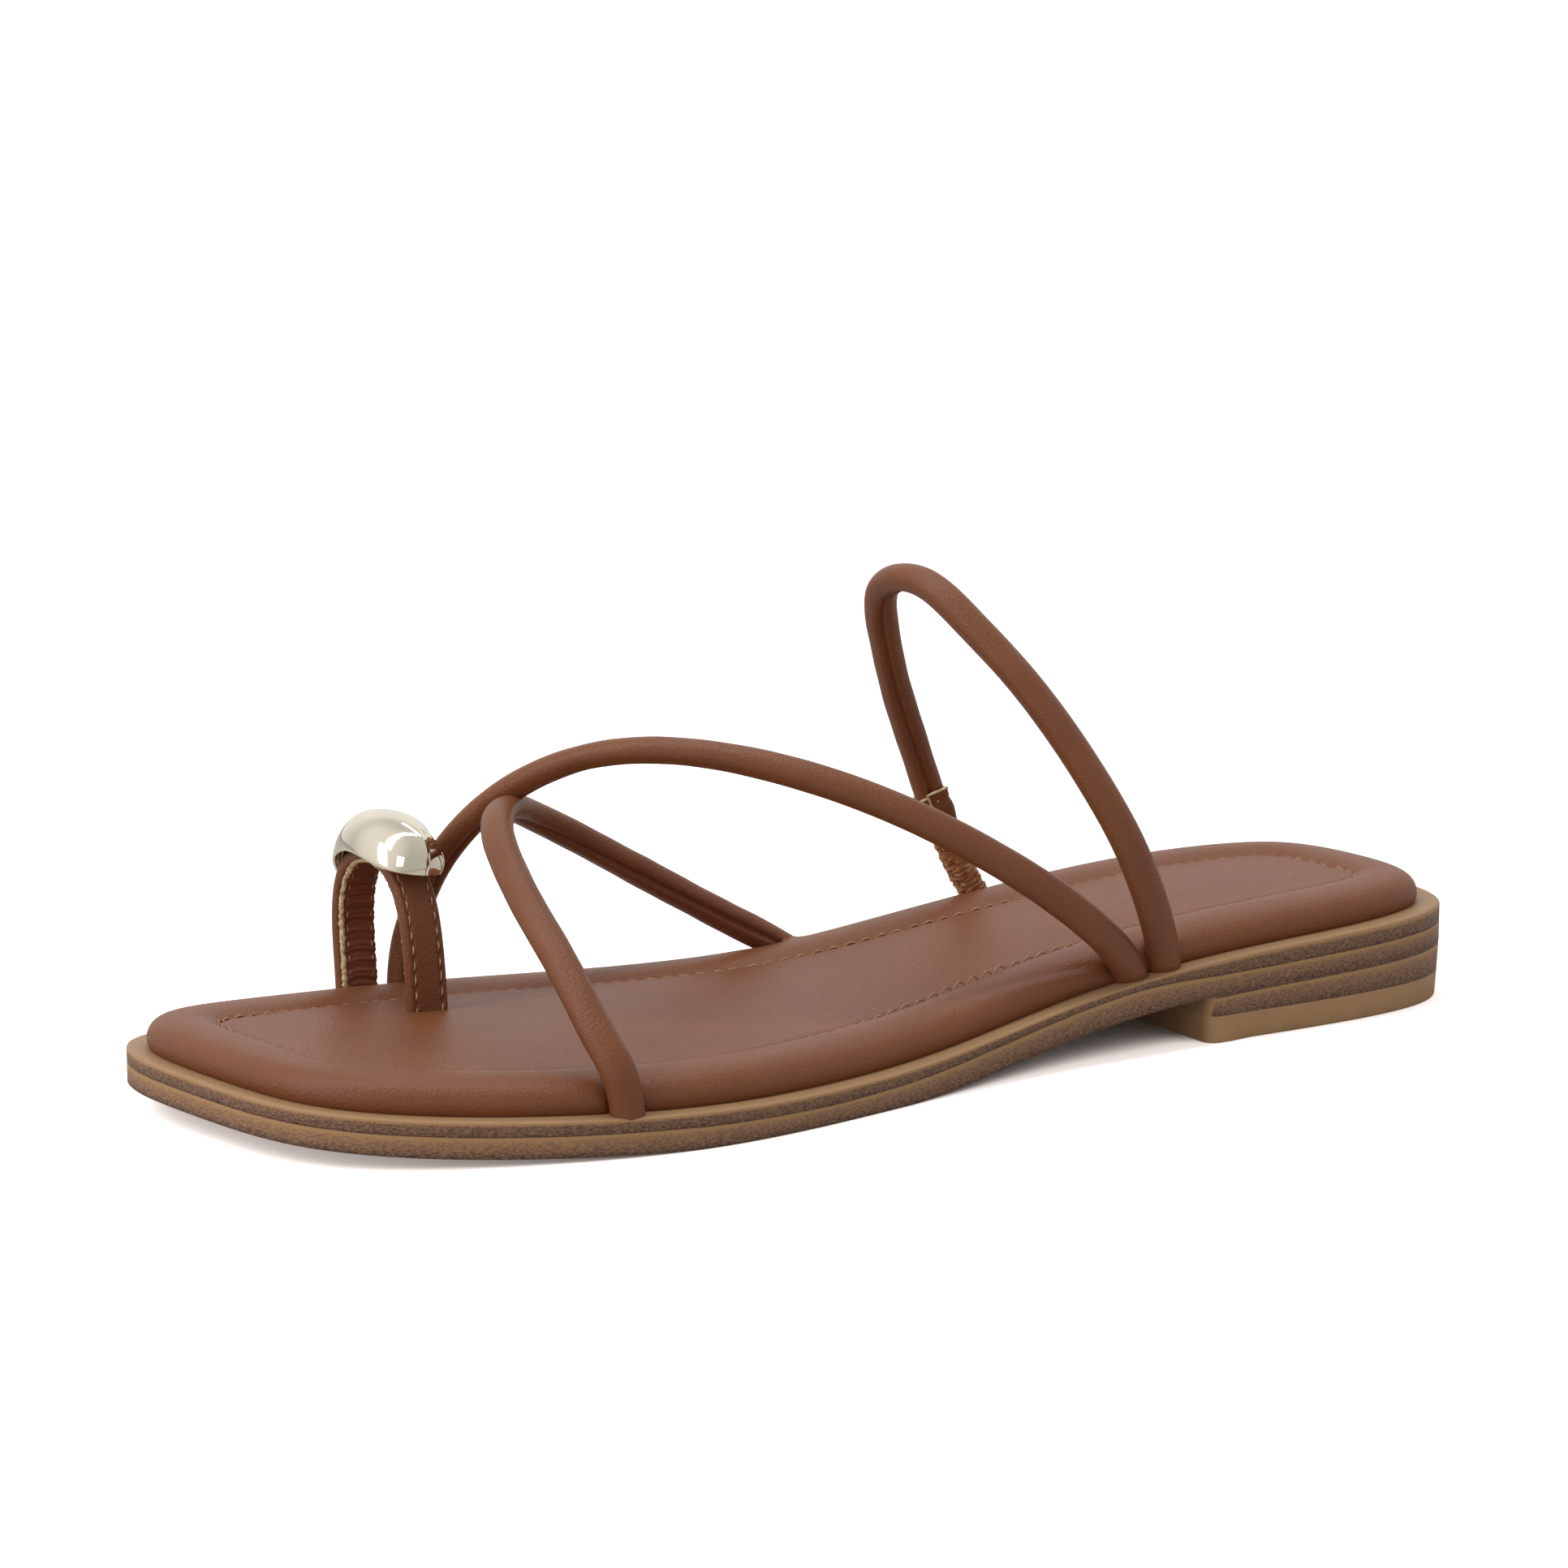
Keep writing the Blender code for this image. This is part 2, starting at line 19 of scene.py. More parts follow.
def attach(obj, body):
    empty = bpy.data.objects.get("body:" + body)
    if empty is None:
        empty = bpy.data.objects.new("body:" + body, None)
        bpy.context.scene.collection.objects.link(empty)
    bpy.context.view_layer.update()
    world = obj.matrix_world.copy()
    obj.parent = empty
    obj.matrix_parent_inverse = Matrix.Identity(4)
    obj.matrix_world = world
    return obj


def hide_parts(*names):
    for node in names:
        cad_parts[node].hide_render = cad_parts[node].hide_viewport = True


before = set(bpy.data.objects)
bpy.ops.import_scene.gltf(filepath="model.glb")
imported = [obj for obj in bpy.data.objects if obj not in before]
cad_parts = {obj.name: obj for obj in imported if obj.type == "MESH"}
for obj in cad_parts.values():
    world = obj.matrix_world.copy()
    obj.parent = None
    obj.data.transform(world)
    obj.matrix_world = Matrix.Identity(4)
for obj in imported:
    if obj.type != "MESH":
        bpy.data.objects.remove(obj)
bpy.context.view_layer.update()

log = logging.getLogger("sandal")
Array = np.ndarray
Row = TypeVar("Row")

MM = 0.001
BODY = "root"
WELD = 1e-6
TINY = 1e-6
CURVE_SAMPLES = 4000

# Sewing thread: points round and along a stitch, and shares for its thin ends and its unevenness
THREAD_SIDES = 8
THREAD_POINTS = 9
THREAD_TAPER = 0.15
THREAD_DRIFT = 0.37
THREAD_SHIFT = 0.4
THREAD_STRETCH = 0.3
THREAD_DIVE = 0.9


class Slot(Enum):
    """Material slots of the record."""

    SOLE = "sole_layers"
    LIFT = "lift"
    FOOTBED = "footbed_leather"
    STRAP = "strap_leather"
    ELASTIC = "elastic"
    GILT = "gilt"


class PlanPoint(NamedTuple):
    """Point of the sole's outline."""

    station: float
    offset: float


class ProfileRow(NamedTuple):
    """Height of the sole's top and its thickness at a station."""

    station: float
    top: float
    thickness: float


class EdgeRow(NamedTuple):
    """Row down a layered side: layer and share of it, how far it is set in, and share of dark specks."""

    layer: float
    inset: float
    specks: float


class LayerRow(NamedTuple):
    """Share of the sole's thickness that its upper layer takes at a station."""

    station: float
    share: float


class RimRow(NamedTuple):
    """Row of the footbed's section: distance from its edge and height over the sole."""

    inset: float
    height: float


class SeamRow(NamedTuple):
    """How strongly the seam puckers at a station, and how high its thread stands on each side."""

    station: float
    pull: float
    lateral: float
    medial: float


class CreaseRow(NamedTuple):
    """Crease along the lateral side of the rim: its way up the rim and its depth at a station."""

    station: float
    way: float
    depth: float


class RoutePoint(NamedTuple):
    """Point of a strap's middle line."""

    station: float
    offset: float
    height: float


class Axis(NamedTuple):
    """Middle of the foot or of a toe in cross-section, which a strap faces away from."""

    offset: float
    height: float


class DomeRow(NamedTuple):
    """Section of the ornament: offset, heights of crown and lip, middle, and half lengths to each end."""

    offset: float
    crown: float
    lip: float
    middle: float
    toe: float
    heel: float


class Stitch(NamedTuple):
    """Sizes of one stitch: from one to the next, its length, thickness and slant, and how uneven it is."""

    pitch: float
    length: float
    width: float
    slant: float = 0.0
    uneven: float = 0.0


class Frames(NamedTuple):
    """Middle line of a strap with unit directions across it and out from the foot, and the way along it."""

    points: Array
    across: Array
    outward: Array
    along: Array


def table(kind: Callable[..., Row], *rows: Sequence[float]) -> tuple[Row, ...]:
    """Table of one kind of row, from plain rows of numbers."""
    return tuple(kind(*row) for row in rows)


FOOT_AXIS = Axis(0.0, 16.0)
TOE_AXIS = Axis(-31.0, 22.0)

# Instep cord, from the lateral heel over the instep to the medial side behind the big toe
INSTEP_ROUTE = table(
    RoutePoint,
    (78.6, 29.2, 11.6), (81.2, 30.4, 16.2), (89.7, 31.9, 24.8), (99.0, 31.3, 32.0), (109.0, 28.7, 38.8),
    (120.0, 24.5, 45.4), (130.0, 19.7, 50.4), (140.5, 13.9, 54.5), (151.0, 7.2, 57.3),
    (162.0, -0.4, 58.3), (171.5, -8.4, 56.3), (179.8, -16.8, 50.8), (184.6, -27.0, 42.0),
    (186.6, -34.5, 33.8), (188.0, -39.8, 25.0), (189.1, -42.2, 17.3), (189.5, -42.6, 11.2),
    (189.5, -42.4, 4.5),
)

# Vamp cord, from the lateral forefoot under the instep cord to the medial waist
VAMP_ROUTE = table(
    RoutePoint,
    (191.4, 45.2, 4.5), (192.2, 45.5, 10.0), (193.4, 44.8, 14.9), (194.5, 41.8, 19.0),
    (195.2, 35.5, 25.0), (195.4, 26.0, 32.2), (195.2, 18.0, 37.0), (193.8, 8.5, 41.7),
    (191.0, -1.5, 45.7), (187.0, -9.0, 47.4), (180.2, -17.5, 47.0), (173.5, -23.7, 44.2),
    (163.5, -28.2, 39.0), (149.5, -31.0, 31.0), (134.8, -32.0, 22.4), (125.3, -31.9, 16.9),
    (117.8, -31.0, 12.5), (110.5, -28.4, 7.0),
)

# Ankle strap and its elastic, from the lateral heel over the ankle to the medial heel
ANKLE_ROUTE = table(
    RoutePoint,
    (71.6, 28.8, 11.0), (72.6, 29.8, 16.0), (77.1, 32.5, 27.0), (82.5, 32.5, 39.0), (87.6, 30.0, 49.3),
    (93.1, 25.3, 60.1), (98.4, 19.2, 69.7), (103.2, 11.7, 77.8), (106.8, 2.0, 84.0), (107.4, -9.8, 81.8),
    (103.2, -16.7, 71.5), (98.1, -20.7, 60.5), (92.2, -23.7, 48.6), (87.4, -25.6, 38.5),
    (80.3, -27.7, 25.3), (75.0, -28.8, 17.2), (71.2, -29.0, 11.0),
)

# Flat toe loop, from its slot in the inner panel over the big toe to the medial edge
LOOP_ROUTE = table(
    RoutePoint,
    (196.6, -18.2, 8.6), (196.8, -18.1, 12.2), (197.0, -18.3, 18.5), (197.3, -19.0, 25.8),
    (197.6, -20.6, 31.6), (198.1, -24.0, 36.3), (198.6, -30.5, 38.6), (198.8, -37.5, 36.8),
    (198.8, -42.2, 31.6), (198.7, -43.9, 23.0), (198.6, -43.4, 15.0), (198.5, -42.9, 4.5),
)


def smooth_curve(knots: Array, values: Array) -> Callable[[Array], Array]:
    """Natural cubic curve through rows of values.

    Args:
        knots: Rising places of the rows.
        values: One row of numbers for each knot.

    Returns:
        Function that gives the rows of numbers at an array of places.
    """
    steps = np.diff(knots)
    slopes = np.diff(values, axis=0) / steps[:, None]
    matrix = np.eye(len(knots))
    right = np.zeros_like(values)
    for row in range(1, len(knots) - 1):
        before, after = steps[row - 1], steps[row]
        matrix[row, row - 1:row + 2] = before, 2.0 * (before + after), after
        right[row] = 6.0 * (slopes[row] - slopes[row - 1])
    bend = np.linalg.solve(matrix, right)

    def curve(places: Array) -> Array:
        """Rows of numbers at places along the knots.

        Args:
            places: Places between the first knot and the last.

        Returns:
            One row of numbers for each place.
        """
        span = np.clip(np.searchsorted(knots, places, side="right") - 1, 0, len(steps) - 1)
        size = steps[span][:, None]
        near = (knots[span + 1] - places)[:, None] / size
        far = 1.0 - near
        ends = near * values[span] + far * values[span + 1]
        arch = (near ** 3 - near) * bend[span] + (far ** 3 - far) * bend[span + 1]
        return ends + arch * size ** 2 / 6.0

    return curve


def distances(line: Array) -> Array:
    """Distance of each point of a line from its start, along the line."""
    return np.concatenate([[0.0], np.cumsum(np.linalg.norm(np.diff(line, axis=0), axis=1))])


def drawn(points: Sequence[Sequence[float]]) -> Array:
    """Finely drawn smooth line through points.

    Args:
        points: Points that the line runs through.

    Returns:
        Close points of the line.
    """
    spots = np.array(points, float)
    knots = distances(spots)
    return smooth_curve(knots, spots)(np.linspace(0.0, knots[-1], CURVE_SAMPLES))


def rows_at(rows: Array, along: Array, marks: Array) -> Array:
    """Rows of numbers between those that stand at distances along a line.

    Args:
        rows: One row of numbers for each distance.
        along: Rising distances.
        marks: Distances that are asked for.

    Returns:
        One row of numbers for each mark.
    """
    return np.stack([np.interp(marks, along, column) for column in rows.T], axis=-1)


def at_marks(line: Array, marks: Array) -> Array:
    """Points of a finely drawn line at distances from its start."""
    return rows_at(line, distances(line), marks)


def unit(rows: Array) -> Array:
    """Rows of numbers scaled to a length of one."""
    return rows / np.linalg.norm(rows, axis=-1, keepdims=True)


def full_turn(sides: int) -> Array:
    """Angles once round a section, with the last one on the first."""
    return np.linspace(0.0, 2.0 * math.pi, sides + 1)


def wave(places: Array, pitch: float, phase: float = 0.0) -> Array:
    """Sine of a pitch, for the small unevenness of hand work."""
    return np.sin(2.0 * math.pi * (places / pitch + phase))


def bell(places: Array, middle: float, width: float) -> Array:
    """Soft bump of height one around a middle."""
    return np.exp(-((places - middle) / width) ** 2)


def eased(places: Array, start: float | Array, end: float | Array) -> Array:
    """Soft step from zero at a start to one at an end."""
    share = np.clip((places - start) / (end - start), 0.0, 1.0)
    return share * share * (3.0 - 2.0 * share)


def uneven(spots: Array, size: float) -> Array:
    """Random-looking numbers between about minus one and one that change over a size.

    Args:
        spots: Points in millimetres.
        size: Distance over which the numbers change.

    Returns:
        One number for each point.
    """
    flat = spots.reshape(-1, 3) / size
    values = [noise.turbulence(Vector(spot), 3, False) for spot in flat.tolist()]
    return np.array(values).reshape(spots.shape[:-1])


def column_of(rows: Sequence[NamedTuple], name: str) -> Array:
    """One named column of a table."""
    return np.array([getattr(row, name) for row in rows], float)


@dataclass
class Last:
    """The form that the sandal is made on: outline of the sole and its side view."""

    length: float = 252.0
    half_points: int = 480
    tension: float = 0.5
    sharp_smoothing: int = 9
    soft_smoothing: int = 32
    soft_depth: float = 14.0
    axis_end: float = 24.0
    plan: tuple[PlanPoint, ...] = table(
        PlanPoint,
        (0.0, 0.0), (5.0, 23.5), (37.0, 32.5), (92.0, 34.5), (144.0, 44.5), (180.0, 49.0), (215.0, 42.0),
        (241.0, 27.0), (250.0, 3.0), (252.0, -21.5), (242.5, -35.5), (215.0, -44.0), (180.0, -45.0),
        (120.0, -35.5), (75.0, -31.5), (40.0, -32.0), (9.0, -23.5),
    )
    profile: tuple[ProfileRow, ...] = table(
        ProfileRow,
        (0.0, 18.0, 7.0), (30.0, 17.1, 7.0), (62.0, 15.4, 6.6), (95.0, 11.4, 6.3), (125.0, 7.1, 6.4),
        (150.0, 6.0, 6.4), (190.0, 6.8, 6.4), (225.0, 8.6, 6.4), (252.0, 11.1, 6.4),
    )
    edge: Array = field(init=False)
    normal: Array = field(init=False)
    soft_normal: Array = field(init=False)
    centre: Array = field(init=False)

    def __post_init__(self) -> None:
        """Draws the outline, with the same number of points on each side from heel to toe."""
        turns = np.array(self.plan * 3 + self.plan[:1], float)
        spans = np.linalg.norm(np.diff(turns, axis=0), axis=1) ** self.tension
        knots = np.concatenate([[0.0], np.cumsum(spans)])
        first, last = knots[len(self.plan)], knots[2 * len(self.plan)]
        line = smooth_curve(knots, turns)(np.linspace(first, last, CURVE_SAMPLES + 1))[:-1]
        line = np.roll(line, -line[:, 0].argmin(), axis=0)
        toe = line[:, 0].argmax()
        halves = []
        for side in (line[:toe + 1], np.vstack([line[toe:], line[:1]])):
            halves.append(at_marks(side, np.linspace(0.0, distances(side)[-1], self.half_points + 1))[:-1])
        self.edge = np.vstack(halves)
        self.normal = self.outward(self.sharp_smoothing)
        self.soft_normal = self.outward(self.soft_smoothing)
        self.centre = 0.5 * (self.edge.max(axis=0) + self.edge.min(axis=0))

    def outward(self, reach: int) -> Array:
        """Directions out of the outline, evened over its points.

        Args:
            reach: Number of points to each side.

        Returns:
            One unit direction for each point.
        """
        tangent = np.roll(self.edge, -1, axis=0) - np.roll(self.edge, 1, axis=0)
        normal = unit(np.stack([-tangent[:, 1], tangent[:, 0]], axis=1))
        return unit(sum(np.roll(normal, shift, axis=0) for shift in range(-reach, reach + 1)))

    def side_view(self, station: Array, name: str) -> Array:
        """One column of the side view at stations.

        Args:
            station: Stations.
            name: Name of the column.

        Returns:
            Its value at each station.
        """
        curve = smooth_curve(column_of(self.profile, "station"), column_of(self.profile, name)[:, None])
        places = np.clip(station, 0.0, self.length)
        return curve(places.ravel())[:, 0].reshape(places.shape)

    def top(self, station: Array) -> Array:
        """Height of the sole's top."""
        return self.side_view(station, "top")

    def bottom(self, station: Array) -> Array:
        """Height of the sole's underside, pressed flat where it meets the floor."""
        return np.maximum(self.top(station) - self.side_view(station, "thickness"), 0.0)

    def ring(self, inset: float | Array, middle: float = 0.0) -> Array:
        """Outline moved in, and drawn towards its own middle line.

        Args:
            inset: Distance to move in, the same all round or one for each point.
            middle: Share of the way to the middle line.

        Returns:
            Stations and offsets.
        """
        depth = np.broadcast_to(inset, len(self.edge))[:, None]
        soft = np.clip(depth / self.soft_depth, 0.0, 1.0)
        ring = self.edge - unit(self.normal * (1.0 - soft) + self.soft_normal * soft) * depth
        station = np.clip(ring[:, 0], ring[:, 0].min() + self.axis_end, ring[:, 0].max() - self.axis_end)
        lateral = ring[:self.half_points]
        medial = ring[:self.half_points - 1:-1]
        offset = 0.5 * (np.interp(station, *lateral.T) + np.interp(station, *medial.T))
        return ring + (np.column_stack([station, offset]) - ring) * middle

    def place(self, spots: Array) -> Array:
        """Stations, offsets and heights in millimetres, as points of the part in metres."""
        station, offset, height = np.moveaxis(spots, -1, 0)
        return np.stack([offset - self.centre[1], self.centre[0] - station, height], axis=-1) * MM


LAST = Last()


def ring_at(ring: Array, height: Array) -> Array:
    """Closed row of a surface: stations, offsets and heights, with the first point repeated at the end."""
    row = np.column_stack([ring, height])
    return np.vstack([row, row[:1]])


def frames_along(route: Sequence[RoutePoint], axis: Axis, step: float,
                 start: float = 0.0, end: float | None = None) -> Frames:
    """Frames along a strap's route.

    Args:
        route: Points of the middle line.
        axis: What the strap faces away from.
        step: Distance between two frames.
        start: Distance along the route of the first frame.
        end: Distance of the last frame, or None for the route's end.

    Returns:
        Points, directions and distances along the route.
    """
    line = drawn(route)
    end = distances(line)[-1] if end is None else end
    along = np.linspace(start, end, max(3, round((end - start) / step) + 1))
    points = at_marks(line, along)
    tangent = unit(np.gradient(points, axis=0))
    outward = points - np.column_stack([points[:, 0], np.full((len(points), 2), axis)])
    outward = unit(outward - tangent * (outward * tangent).sum(axis=1, keepdims=True))
    return Frames(points, np.cross(tangent, outward), outward, along)


def swept(frames: Frames, section: Array) -> Array:
    """Surface of a section carried along a strap.

    Args:
        frames: Frames of the strap.
        section: Distances across and out, for all frames or one set for each frame.

    Returns:
        Rows of stations, offsets and heights.
    """
    sections = np.broadcast_to(section, (len(frames.points), *section.shape[-2:]))
    across = frames.across[:, None] * sections[..., :1]
    outward = frames.outward[:, None] * sections[..., 1:]
    return frames.points[:, None] + across + outward


def pressed(surface: Array, line: Array, radius: float, reach: float) -> Array:
    """Surface pushed away from a line, as soft leather is by a cord that lies on it.

    Args:
        surface: Rows of stations, offsets and heights.
        line: Points of the line.
        radius: Distance that the surface is pushed to.
        reach: How far beyond that the dent runs out.

    Returns:
        The dented surface.
    """
    flat = surface.reshape(-1, 3)
    best = np.full(len(flat), np.inf)
    nearest = np.zeros_like(flat)
    for spot in line:
        gap = np.linalg.norm(flat - spot, axis=1)
        closer = gap < best
        best[closer] = gap[closer]
        nearest[closer] = spot
    full = radius + reach
    share = np.clip(best / full, TINY, 1.0)
    pushed = radius + reach * share ** (full / reach)
    moved = nearest + (flat - nearest) * (pushed / np.maximum(best, TINY))[:, None]
    return np.where((best < full)[:, None], moved, flat).reshape(surface.shape)


def add_surface(bm: bmesh.types.BMesh, surface: Array, **values: Array) -> None:
    """Adds a grid of faces and carries its points to a surface.

    Args:
        bm: Mesh that takes the grid.
        surface: Rows of stations, offsets and heights in millimetres.
        values: Numbers for each point of the surface, kept as attributes.
    """
    rows, columns = surface.shape[0] - 1, surface.shape[1] - 1
    spots = LAST.place(surface)
    layers = {}
    for name in values:
        layers[name] = bm.verts.layers.float.get(name) or bm.verts.layers.float.new(name)
    made = bmesh.ops.create_grid(bm, x_segments=columns, y_segments=rows, size=1.0)
    for vert in made["verts"]:
        column = round(0.5 * (vert.co.x + 1.0) * columns)
        row = round(0.5 * (vert.co.y + 1.0) * rows)
        vert.co = spots[row, column]
        for name, layer in layers.items():
            vert[layer] = values[name][row, column]


def close_ends(bm: bmesh.types.BMesh) -> None:
    """Welds the seams of the mesh and fills the holes that are left.

    Args:
        bm: The mesh.
    """
    bmesh.ops.remove_doubles(bm, verts=bm.verts, dist=WELD)
    open_edges = [edge for edge in bm.edges if edge.is_boundary]
    bmesh.ops.holes_fill(bm, edges=open_edges, sides=0)


def add_stitches(bm: bmesh.types.BMesh, line: Array, lift: Array, stitch: Stitch,
                 rise: float | Array) -> None:
    """Adds a row of thread stitches, each a short tube that dives into the leather at both ends.

    Args:
        bm: Mesh that takes the stitches.
        line: Finely drawn line of the seam.
        lift: Unit direction out of the leather at each point of the line.
        stitch: Sizes of one stitch.
        rise: Height of the thread over the seam, the same all along or one for each point of the line.
    """
    along = distances(line)
    rises = np.broadcast_to(rise, along.shape)
    turn = full_turn(THREAD_SIDES)[:, None]
    share = np.linspace(0.0, 1.0, THREAD_POINTS)
    arch = np.sin(math.pi * share)
    radius = 0.5 * stitch.width * np.sqrt(np.maximum(arch, THREAD_TAPER))
    for middle in np.arange(0.5 * stitch.pitch, along[-1] - 0.5 * stitch.length, stitch.pitch):
        odd = stitch.uneven * noise.noise(Vector((THREAD_DRIFT * middle, 0.0, 0.0)))
        marks = middle + (THREAD_SHIFT * odd + (share - 0.5) * (1.0 + THREAD_STRETCH * odd)) * stitch.length
        points = rows_at(line, along, marks)
        out = unit(rows_at(lift, along, marks))
        side = np.cross(unit(np.gradient(points, axis=0)), out)
        height = np.interp(marks, along, rises) * (1.0 + odd) * arch + stitch.width * (arch - THREAD_DIVE)
        thread = points + out * height[:, None] + side * ((share - 0.5) * stitch.slant)[:, None]
        ring = side[:, None] * np.cos(turn) + out[:, None] * np.sin(turn)
        add_surface(bm, thread[:, None] + ring * radius[:, None, None])


def make_piece(bm: bmesh.types.BMesh, name: str, finish: bpy.types.Material,
               replaces: Sequence[str] = (), sharp: float = 180.0) -> bpy.types.Object:
    """Turns a mesh into a dressed piece that rides on the part.

    Args:
        bm: The mesh, which is used up.
        name: Name of the piece.
        finish: Its material.
        replaces: Solids that it stands for.
        sharp: Angle in degrees above which an edge stays sharp.

    Returns:
        The piece.
    """
    bmesh.ops.remove_doubles(bm, verts=bm.verts, dist=WELD)
    bmesh.ops.recalc_face_normals(bm, faces=bm.faces)
    mesh = bpy.data.meshes.new(name)
    bm.to_mesh(mesh)
    bm.free()
    mesh.shade_smooth()
    if sharp < 180.0:
        mesh.set_sharp_from_angle(angle=math.radians(sharp))
    mesh.materials.append(finish)
    piece = bpy.data.objects.new(name, mesh)
    bpy.context.scene.collection.objects.link(piece)
    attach(piece, BODY)
    if replaces:
        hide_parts(*replaces)
    log.info("%s: %d faces", name, len(mesh.polygons))
    return piece


def linear(code: str) -> tuple[float, float, float, float]:
    """Linear colour of an sRGB hex value.

    Args:
        code: The hex value, with its hash sign.

    Returns:
        Red, green, blue and a full alpha.
    """
    shares = [int(code[index:index + 2], 16) / 255.0 for index in (1, 3, 5)]
    red, green, blue = [
        share / 12.92 if share <= 0.04045 else ((share + 0.055) / 1.055) ** 2.4 for share in shares
    ]
    return red, green, blue, 1.0


def per_metre(size_mm: float) -> float:
    """Scale of a texture on Object coordinates whose features have a size."""
    return 1.0 / (size_mm * MM)


def feed(node: bpy.types.Node, inputs: dict[str | int, Any]) -> None:
    """Sets inputs of a node, or links them where the value is another node's socket.

    Args:
        node: Node that takes the values.
        inputs: Value or feeding socket of each named or numbered input.
    """
    for key, value in inputs.items():
        if isinstance(value, bpy.types.NodeSocket):
            node.id_data.links.new(value, node.inputs[key])
        else:
            node.inputs[key].default_value = value


def add_node(tree: bpy.types.NodeTree, kind: str, inputs: dict[str | int, Any] | None = None,
             stops: Sequence[tuple[float, str]] = (), **settings: Any) -> bpy.types.Node:
    """Adds a node to a tree.

    Args:
        tree: Node tree that takes the node.
        kind: Type of the node.
        inputs: Value or feeding socket of each named or numbered input.
        stops: Positions and hex colours of a colour ramp.
        settings: Properties of the node.

    Returns:
        The node.
    """
    node = tree.nodes.new(kind)
    for name, value in settings.items():
        setattr(node, name, value)
    feed(node, inputs or {})
    for index, (position, code) in enumerate(stops):
        elements = node.color_ramp.elements
        element = elements[index] if index < len(elements) else elements.new(position)
        element.position = position
        element.color = linear(code)
    return node


def new_material(name: str) -> tuple[bpy.types.Material, bpy.types.NodeTree, bpy.types.Node]:
    """Makes a material with nodes.

    Args:
        name: Name of the material.

    Returns:
        The material, its node tree and its Principled shader.
    """
    material = bpy.data.materials.new(name)
    material.use_nodes = True
    tree = material.node_tree
    return material, tree, tree.nodes["Principled BSDF"]


@dataclass(frozen=True)
class Leather:
    """Smooth full-grain leather: even colour, closed pores that glint, a soft waxed gloss."""

    name: str
    hide: str
    shade: str
    roughness: float = 0.43
    gloss: float = 0.33
    pore_mm: float = 0.5
    pore_depth_mm: float = 0.075
    cloud_mm: float = 16.0
    fine_share: float = 1.3
    gloss_spread: float = 0.1

    def build(self) -> bpy.types.Material:
        """Builds the nodes.

        Returns:
            Material of the leather.
        """
        material, tree, shader = new_material(self.name)
        spot = add_node(tree, "ShaderNodeTexCoord").outputs["Object"]
        # Slow drift between two close browns, so that the hide isn't one flat tone
        cloud = add_node(tree, "ShaderNodeTexNoise",
                         {"Vector": spot, "Scale": per_metre(self.cloud_mm), "Detail": 3.0})
        colour = add_node(tree, "ShaderNodeValToRGB", {"Fac": cloud.outputs["Fac"]},
                          stops=((0.3, self.shade), (0.7, self.hide)))
        # Pores that sparkle where the light turns away
        pores = add_node(tree, "ShaderNodeTexVoronoi", {"Vector": spot, "Scale": per_metre(self.pore_mm)})
        fine = add_node(tree, "ShaderNodeTexNoise",
                        {"Vector": spot, "Scale": per_metre(self.fine_share * self.pore_mm), "Detail": 2.0})
        gloss = add_node(tree, "ShaderNodeMapRange",
                         {"Value": fine.outputs["Fac"], "To Min": self.roughness - self.gloss_spread,
                          "To Max": self.roughness + self.gloss_spread})
        relief = add_node(tree, "ShaderNodeMath", {0: pores.outputs["Distance"], 1: fine.outputs["Fac"]},
                          operation="ADD")
        bump = add_node(tree, "ShaderNodeBump", {"Height": relief.outputs[0], "Strength": 1.0,
                                                 "Distance": self.pore_depth_mm * MM})
        feed(shader, {"Base Color": colour.outputs["Color"], "Roughness": gloss.outputs["Result"],
                      "Normal": bump.outputs["Normal"], "Specular IOR Level": self.gloss})
        return material


@dataclass(frozen=True)
class Gathered:
    """Gathered elastic under thin leather, coloured by fold height: painted shade in its valleys, painted
    golden highlights on its crests.
    """

    name: str = "gathered_brown_elastic"
    crest_highlight: str = "#c99b6b"
    hide: str = "#a96f45"
    valley_shade: str = "#7f4e2e"
    fibre_mm: float = 0.45
    fibre_depth_mm: float = 0.12
    roughness: float = 0.36

    def build(self) -> bpy.types.Material:
        """Builds the nodes.

        Returns:
            Material of the elastic.
        """
        material, tree, shader = new_material(self.name)
        spot = add_node(tree, "ShaderNodeTexCoord").outputs["Object"]
        fold = add_node(tree, "ShaderNodeAttribute", attribute_name="fold")
        # Painted shade in the fold valleys and painted golden highlights on the crests, set by fold height
        stops = ((0.1, self.valley_shade), (0.45, self.hide), (0.72, self.hide), (0.95, self.crest_highlight))
        colour = add_node(tree, "ShaderNodeValToRGB", {"Fac": fold.outputs["Fac"]}, stops)
        fibre = add_node(tree, "ShaderNodeTexNoise",
                         {"Vector": spot, "Scale": per_metre(self.fibre_mm), "Detail": 3.0})
        bump = add_node(tree, "ShaderNodeBump", {"Height": fibre.outputs["Fac"], "Strength": 1.0,
                                                 "Distance": self.fibre_depth_mm * MM})
        feed(shader, {"Base Color": colour.outputs["Color"], "Normal": bump.outputs["Normal"],
                      "Roughness": self.roughness})
        return material


